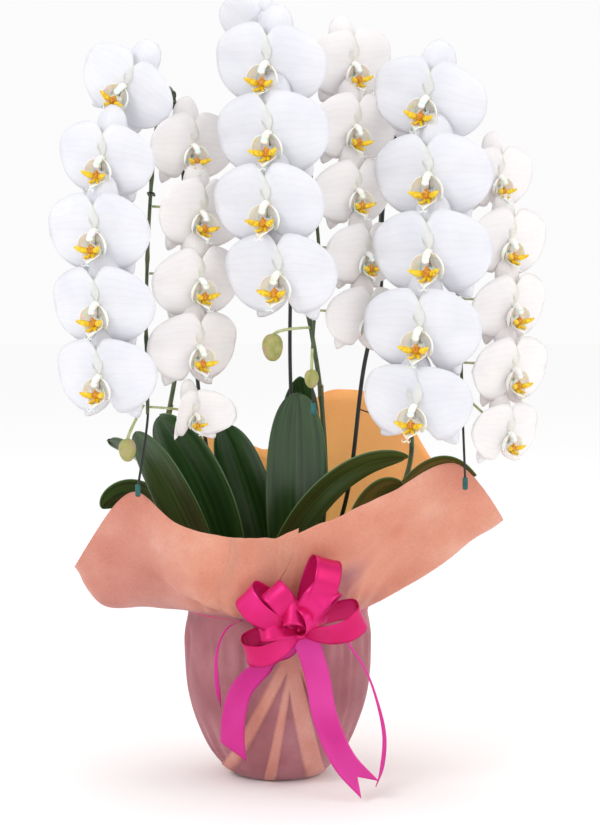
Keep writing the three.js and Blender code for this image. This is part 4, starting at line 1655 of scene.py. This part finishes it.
    def point(self, bearing: float, v: float, bump: float = 0.0) -> Vector:
        """A point of the wrap.

        Args:
            bearing: the bearing from the front by the left, in degrees.
            v: below 0.5 it goes up the body and above 0.5 up the flare.
            bump: mm that it stands further out.

        Returns:
            The point, in mm.
        """
        turn = math.radians(bearing)
        outward = Vector((-math.sin(turn), -math.cos(turn), 0))
        pleats = 1.7 * self.pleat(bearing, 1.3, 1.0)
        gathers = 1.1 * math.sin(turn * 34 + 9 * wobble(turn * 2, 0, 3.0))
        if v <= 0.5:
            spot = self.body.at(v * 2)
            t = v * 2
            fold = pleats * smooth(0.15, 0.55, t) * (0.5 + 0.5 * t)
            gather = gathers * smooth(0.72, 0.9, t)
            low = 1.2 * math.sin(turn * 24 + 1.5) * smooth(0.1, 0.2, t) * (1 - smooth(0.3, 0.6, t))
            plain = 1 - smooth(0.86, 0.93, t)
            front = smooth(0.0, 0.3, math.cos(turn))
            stand, _ = self.fan(-spot.x * math.sin(turn), spot.z)
            tent = self.inside(-spot.x * math.sin(turn), spot.z, FAN_TENT) * front
            radius = spot.x + bump + (fold + gather + low) * smooth(0.05, 0.3, t) * (1 - 0.85 * tent) * plain
            radius += stand * front * smooth(0.16, 0.26, t) * plain
            return outward * radius + UP * spot.z
        out, height = self.edge_at(bearing)
        t = (v - 0.5) * 2
        neck = outward * (self.neck_radius + bump) + UP * self.neck_height
        share, rise = self.knee_at(bearing, height)
        knee = outward * mix(self.neck_radius, out, share) + UP * (self.neck_height + rise)
        edge = outward * (out - 1) + UP * height
        spot = neck.lerp(knee, t).lerp(knee.lerp(edge, t), t)
        gather = (gathers + pleats) * smooth(0.0, 0.1, t) * (1 - smooth(0.1, 0.4, t))
        crumple = (3.0 * wobble(turn * 6, t * 2.4, 8.0) + 1.4 * wobble(turn * 17, t * 5, 9.0)) * (1 - 0.6 * t)
        fold = 4.0 * self.pleat(bearing, 0.7, 6.0) * smooth(0.05, 0.45, t) * (1 - 0.85 * t)
        fold += crumple * smooth(0.1, 0.5, t)
        fold += self.crease(bearing, t) * (1 - smooth(0.85, 1.0, t))
        lift = (outward * -0.35 + UP * 0.94) * fold + outward * gather
        return spot + lift + outward * bump * 0.3

    def build(self, finishes: Finishes) -> list[Object]:
        """Builds the outer sheet and the layer inside it.

        Args:
            finishes: the plant's finishes.

        Returns:
            The outer sheet and the liner.
        """
        bm = bmesh.new()
        fold = bm.verts.layers.float.new(FACE_AND_SHADE_LAYER)
        tones: list[float] = []

        def place(u: float, v: float) -> Vector:
            """A point of the outer sheet, which goes on past its own start.

            Args:
                u: the share of the way round from the front by the left.
                v: from the base up to the edge.

            Returns:
                The point.
            """
            u -= self.crowding * math.sin(2 * math.pi * u) / (2 * math.pi)
            bearing = mix(14, -10, smooth(0.5, 1.0, v)) + (360 + self.overlap * smooth(0.47, 0.56, v)) * u
            lap = 3.2 * (1 - smooth(0.03, 0.09, u)) * smooth(0.48, 0.56, v)
            spot = self.point(bearing, v, lap)
            # Each point keeps its share of the deeper tone, with its painted shade and painted sheen.
            tones.append(self.face_and_painted_shade_at(bearing, v))
            if v > 0.5:
                spot += UP * 5 * (1 - smooth(0.0, 0.07, u)) * (v - 0.5) * 2
            return spot * MM

        for v, tone in zip(patch(bm, self.columns, self.body_rows + self.flare_rows, place), tones):
            v[fold] = tone
        thicken(bm, 0.6 * MM)
        wrap = settle("wrap", bm, (finishes.wrap,))
        return [wrap, self.liner(finishes)]

    def liner(self, finishes: Finishes) -> Object:
        """Builds the second sheet, which stands inside the back and the sides of the flare.

        Args:
            finishes: the plant's finishes.

        Returns:
            The piece.
        """

        def place(u: float, v: float) -> Vector:
            """A point of the liner.

            Args:
                u: the share of the way round the back.
                v: from under the neck up to the edge.

            Returns:
                The point.
            """
            bearing = mix(112, 322, u)
            high = mix(0.44, mix(1.0, 0.94, smooth(250, 268, bearing)), v)
            spot = self.point(bearing, high)
            turn = math.radians(bearing)
            inward = Vector((math.sin(turn), math.cos(turn), 0))
            climb = smooth(0.5, 0.7, high)
            ends = smooth(0.0, 0.06, u) * smooth(0.0, 0.06, 1 - u)
            raised = climb * 2.0 + 2.5 * ends * smooth(0.9, 1.0, v)
            return (spot + inward * mix(3.2, 1.8, climb) + UP * raised) * MM

        bm = thin_sheet(180, 26, place, 0.5 * MM)
        liner = settle("wrap_liner", bm, (finishes.liner,), in_cad=False)
        return liner


# ---- Ribbon ----


@dataclass(frozen=True)
class Ribbon:
    """A length of satin ribbon that follows a line."""

    width: float  # mm
    thickness: float = 0.45  # mm

    def strip(
        self,
        line: Line,
        across: Callable[[float], Vector],
        rows: int,
        width_at: Callable[[float], float] = lambda t: 1.0,
        notch: float = 0.0,
        curl: float = 0.0,
    ) -> BMesh:
        """Builds the ribbon.

        Args:
            line: its middle line.
            across: the way its width lies, a share t of the way along.
            rows: quads along it.
            width_at: its width as a share of the full one.
            notch: how deep a V is cut in its far end, as a share of its length, or a slanting cut where it is
                negative.
            curl: how far its edges bend out of its face, as a share of its width.

        Returns:
            A closed thin mesh.
        """

        def place(u: float, v: float) -> Vector:
            """A point of the ribbon.

            Args:
                u: the share across it.
                v: the share of the way along it.

            Returns:
                The point.
            """
            k = 2 * u - 1
            t = v * (1 - (notch * (1 - abs(k)) if notch > 0 else -notch * (1 - k) / 2))
            ahead = line.along(t)
            side = across(t)
            side = (side - ahead * side.dot(ahead)).normalized()
            face = ahead.cross(side)
            half = self.width * MM / 2 * width_at(t)
            return line.at(t) + side * (k * half) + face * (curl * half * k * k)

        return thin_sheet(8, rows, place, self.thickness * MM)


@dataclass(frozen=True)
class Loop:
    """One loop of the bow: the way it points (right, forward, up), its length and how it is turned."""

    way: Triple
    length: float
    twist: float = 0.0


@dataclass
class Bow:
    """The pull bow on the neck of the wrap, its tails, its draw strings and the band that ties it."""

    knot: Vector = field(default_factory=lambda: mm(23, -124, 180))
    ribbon: Ribbon = Ribbon(28)
    band_radius: float = 98.2 * MM
    loops: tuple[Loop, ...] = (
        Loop((0.36, 0.3, 0.88), 84, 16), Loop((0.44, 0.5, 0.72), 66, -18), Loop((0.92, 0.3, 0.22), 70, 26),
        Loop((-0.8, 0.34, 0.56), 72, -20), Loop((-0.5, 0.42, 0.78), 58, 16),
        Loop((-0.88, 0.3, -0.36), 62, -28), Loop((-0.86, 0.5, 0.06), 46, 20),
        Loop((0.34, 0.8, 0.55), 44, 58), Loop((-0.16, 0.82, 0.55), 42, 74),
    )

    def loop(self, loop: Loop) -> BMesh:
        """A loop that leaves the knot, turns over at its far end and comes back.

        Args:
            loop: the loop's own size and place.

        Returns:
            A closed thin mesh.
        """
        out = Vector((loop.way[0], -loop.way[1], loop.way[2])).normalized()
        side = Vector((0, -1, 0)).cross(out).normalized()
        side.rotate(Matrix.Rotation(math.radians(loop.twist), 3, out))
        up = out.cross(side)
        if up.y > 0:
            side, up = -side, -up
        length = loop.length * MM
        shape = (
            (0, 0.12), (0.2, 0.55), (0.5, 0.92), (0.82, 0.85), (1.0, 0.1), (0.9, -0.7), (0.55, -0.8),
            (0.22, -0.5), (0, -0.12),
        )
        points = [self.knot + out * a * length + up * b * length * 0.3 for a, b in shape]
        line = Line(smooth_line(points, 8))

        def width_at(t: float) -> float:
            """Pinched in the knot and full width a little way out."""
            return mix(0.28, 1.0, math.sin(math.pi * t) ** 0.55)

        return self.ribbon.strip(line, lambda t: side, 34, width_at, curl=0.05)

    def build(self, finishes: Finishes) -> list[Object]:
        """Builds the bow, its band, its tails and its draw strings.

        Args:
            finishes: the plant's finishes.

        Returns:
            The pieces.
        """
        whole = new_mesh()
        for loop in self.loops:
            absorb(whole, self.loop(loop))
        wraps = [(11, 0.0), (9.5, 5.5), (9.5, -5.5)]
        for radius, offset in wraps:
            ring = [self.knot + Vector((math.cos(a) * radius, math.sin(a) * radius * 0.8, offset)) * MM
                    for a in (2 * math.pi * i / 32 for i in range(33))]
            lean = Vector((0.12, 0, 1))
            absorb(whole, self.ribbon.strip(Line(ring), lambda t: lean, 32, lambda t: 0.34, curl=-0.5))
        bow = settle("bow", whole, (finishes.ribbon,))
        heart = egg(self.knot, Vector((9, 7, 8.5)) * MM, Matrix.Identity(3), 0, 16)
        settle("bow_heart", heart, (finishes.ribbon,), in_cad=False)
        round_neck = [Vector((math.cos(a), math.sin(a), 0)) * self.band_radius + UP * (self.knot.z + 4.5 * MM)
                for a in (2 * math.pi * i / 120 for i in range(121))]
        band = Ribbon(4, 0.4).strip(Line(round_neck), lambda t: UP, 120)
        neck_band = settle("neck_band", band, (finishes.ribbon,), in_cad=False)
        return [bow, neck_band, *self.tails(finishes)]

    def tails(self, finishes: Finishes) -> list[Object]:
        """Builds the two cut tails and the two thin draw strings.

        Args:
            finishes: the plant's finishes.

        Returns:
            The pieces.
        """
        tail, curl = (0.026, 0.175), (0.01, 0.115)
        rows = (
            ("tail_left", 26, (0.9, 0.2, 0.4), -0.16, tail,
             ((18, -124, 168), (6, -118, 153), (-14, -117, 140), (-37, -117, 116), (-45, -114, 90),
              (-47, -110, 60), (-45, -106, 34))),
            ("tail_right", 26, (0.9, 0.1, 0.45), 0.1, tail,
             ((22, -124, 180), (30, -128, 168), (41, -126, 134), (51, -127, 84), (70, -132, 42),
              (97, -137, 13))),
            ("curl_left", 4.4, (1, 0.3, 0.3), 0.0, curl,
             ((-36, -129, 190), (-51, -129, 182), (-62, -122, 157), (-63, -114, 123), (-59, -110, 95))),
            ("curl_right", 4.4, (1, 0.5, 0.2), 0.0, (0.01, 0.19),
             ((68, -128, 174), (92, -122, 136), (103, -118, 107), (112, -118, 65), (109, -120, 30),
              (103, -124, 13))),
        )

        def string(t: float) -> float:
            """A draw string fans out halfway and comes to a point."""
            return (0.55 + 0.6 * smooth(0.3, 0.8, t)) * (1 - 0.8 * smooth(0.85, 1.0, t))

        pieces = []
        for name, width, across, notch, flat, points in rows:
            line = Line(smooth_line(points_of(points), 14))
            thin = width < 10
            looks = {"width_at": string} if thin else {"curl": 0.14}
            strip = Ribbon(width, 0.4).strip(line, lambda t, a=across: Vector(a), 60, notch=notch, **looks)
            piece = settle(name, strip, (finishes.ribbon_back_lit_through,))
            pieces.append(piece)
        return pieces


# ---- Plants together ----


@dataclass
class Orchid:
    """The three plants, in order from left to right."""

    finishes: Finishes
    nod: float = 12.0
    crest_span: float = 74.0
    crest_yaw: float = -44.0
    crest_nod: float = 6.0
    crest_root: float = 778.0
    crest_place: Triple = (-27, -88, 798)
    stalk_gap: float = 2.4  # mm from a spike's middle line to where a stalk starts
    grown: float = 1.08  # open blooms touch, while their CAD solids keep a gap
    spikes: dict[str, Spike] = field(default_factory=dict)

    def stalk_start(self, root: Vector, place: Vector) -> Vector:
        """Where a bloom's stalk meets the spike."""
        return root + (place - root).normalized() * self.stalk_gap * MM

    def blooms(self, side: str, spike: Spike) -> None:
        """Builds the blooms of one spike from the top down.

        Args:
            side: the spike's name.
            spike: the spike.
        """
        top = max(p.z for p in spike.line.points)
        for rank in spike.shape.ranks:
            letter = "l" if rank.side is Side.LEFT else "r"
            for i, span in enumerate(rank.spans):
                name = f"blossom_{side}_{letter}{i + 1}"
                height = (rank.top - i * rank.step) * MM
                root = spike.line.falling_at(min(height + 6 * MM, top - 24 * MM))
                place = Vector((root.x + rank.side.value * rank.out[i] * MM, -rank.forward[i] * MM, height))
                own = [wobble(i * 1.7 + n * 5.1, rank.yaw * 0.3 + rank.top * 0.01, 4.0 + n) for n in range(4)]
                change = Bearing(8 * own[0], 9 * own[1], 0.8 * own[2], 1 + 0.06 * own[3])
                bearing = BEARINGS.get(name, change)
                start = self.stalk_start(root, place)
                bloom = Bloom(name, span * self.grown * MM, place, rank.yaw, self.nod, start, bearing)
                bloom.build(self.finishes)

    def build(self) -> None:
        """Builds spikes, stakes, blooms, buds and leaves."""
        for side, shape in PLANTS.items():
            spike = Spike(side, shape)
            self.spikes[side] = spike
            spike.build(self.finishes)
            Stake(spike).build(self.finishes)
            self.blooms(side, spike)
        centre = self.spikes["centre"]
        name, place, span = "blossom_centre_top", mm(*self.crest_place), self.crest_span * MM
        root = self.stalk_start(centre.line.falling_at(self.crest_root * MM), place)
        crest = Bloom(name, span, place, self.crest_yaw, self.crest_nod, root, BEARINGS[name])
        crest.build(self.finishes)
        Bud("bud_left", self.spikes["left"], 412 * MM, mm(-154, -122, 366), 10.5 * MM).build(self.finishes)
        Bud("bud_centre_upper", centre, 492 * MM, mm(-4, -120, 472), 12.5 * MM).build(self.finishes)
        Bud("bud_centre_lower", centre, 470 * MM, mm(36, -126, 440), 8.5 * MM).build(self.finishes)
        for leaf in LEAVES:
            leaf.build(self.finishes)


# ---- Studio ----


@dataclass
class Studio:
    """A plain pale floor, soft light and the camera."""

    eye: Vector = field(default_factory=lambda: Vector((0.024, -2.5, 0.6)))
    aim: Vector = field(default_factory=lambda: Vector((0.024, 0.0, 0.395)))
    middle: Vector = field(default_factory=lambda: Vector((0, 0, 0.45)))  # what the lamps are aimed at
    lens: float = 101.0

    def floor(self) -> None:
        """A matt white floor that goes on well past the view."""
        bm = bmesh.new()
        bmesh.ops.create_grid(bm, x_segments=1, y_segments=1, size=9)
        mesh = bpy.data.meshes.new("studio_floor")
        bm.to_mesh(mesh)
        bm.free()
        paper, _ = new_material(
            "matt_backdrop_paper", Base_Color=linear("fcfcfc"), Roughness=1.0, Specular_IOR_Level=0.0
        )
        mesh.materials.append(paper)
        floor = bpy.data.objects.new("studio_floor", mesh)
        bpy.context.scene.collection.objects.link(floor)

    def lamp(self, name: str, place: Triple, size: float, power: float, colour: str = "ffffff") -> None:
        """A square soft box aimed at the middle of the plant.

        Args:
            name: its name.
            place: where it stands, in metres.
            size: its width, in metres.
            power: its power, in watts.
            colour: its sRGB hex colour.
        """
        data = bpy.data.lights.new(name, "AREA")
        data.size, data.energy = size, power
        data.color = linear(colour)[:3]
        lamp = bpy.data.objects.new(name, data)
        lamp.location = Vector(place)
        lamp.rotation_euler = (self.middle - Vector(place)).to_track_quat("-Z", "Y").to_euler()
        bpy.context.scene.collection.objects.link(lamp)

    def build(self) -> None:
        """Sets up floor, lamps, sky and camera."""
        self.floor()
        self.lamp("key_box", (-1.9, -1.9, 2.3), 0.8, 23)
        self.lamp("fill_box", (2.4, -1.5, 1.4), 1.8, 15)
        self.lamp("top_box", (0.1, 0.5, 2.8), 1.8, 9)
        world = bpy.data.worlds.new("studio_white")
        world.use_nodes = True
        world.node_tree.nodes["Background"].inputs["Color"].default_value = linear("ffffff")
        world.node_tree.nodes["Background"].inputs["Strength"].default_value = 0.97
        scene = bpy.context.scene
        scene.world = world
        scene.view_settings.view_transform = "Standard"
        data = bpy.data.cameras.new("camera")
        data.lens, data.sensor_width = self.lens, 36.0
        camera = bpy.data.objects.new("camera", data)
        camera.location = self.eye
        camera.rotation_euler = (self.aim - self.eye).to_track_quat("-Z", "Y").to_euler()
        scene.collection.objects.link(camera)
        scene.camera = camera


def main() -> None:
    """Builds the plant, its dressing and the studio."""
    logging.basicConfig(level=logging.INFO, format="%(name)s %(message)s")
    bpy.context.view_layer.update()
    finishes = Finishes()
    pot = Pot()
    pot.build_pot(finishes)
    pot.build_moss(finishes)
    Wrap().build(finishes)
    Orchid(finishes).build()
    Bow().build(finishes)
    Studio().build()


if __name__ == "__main__":
    main()
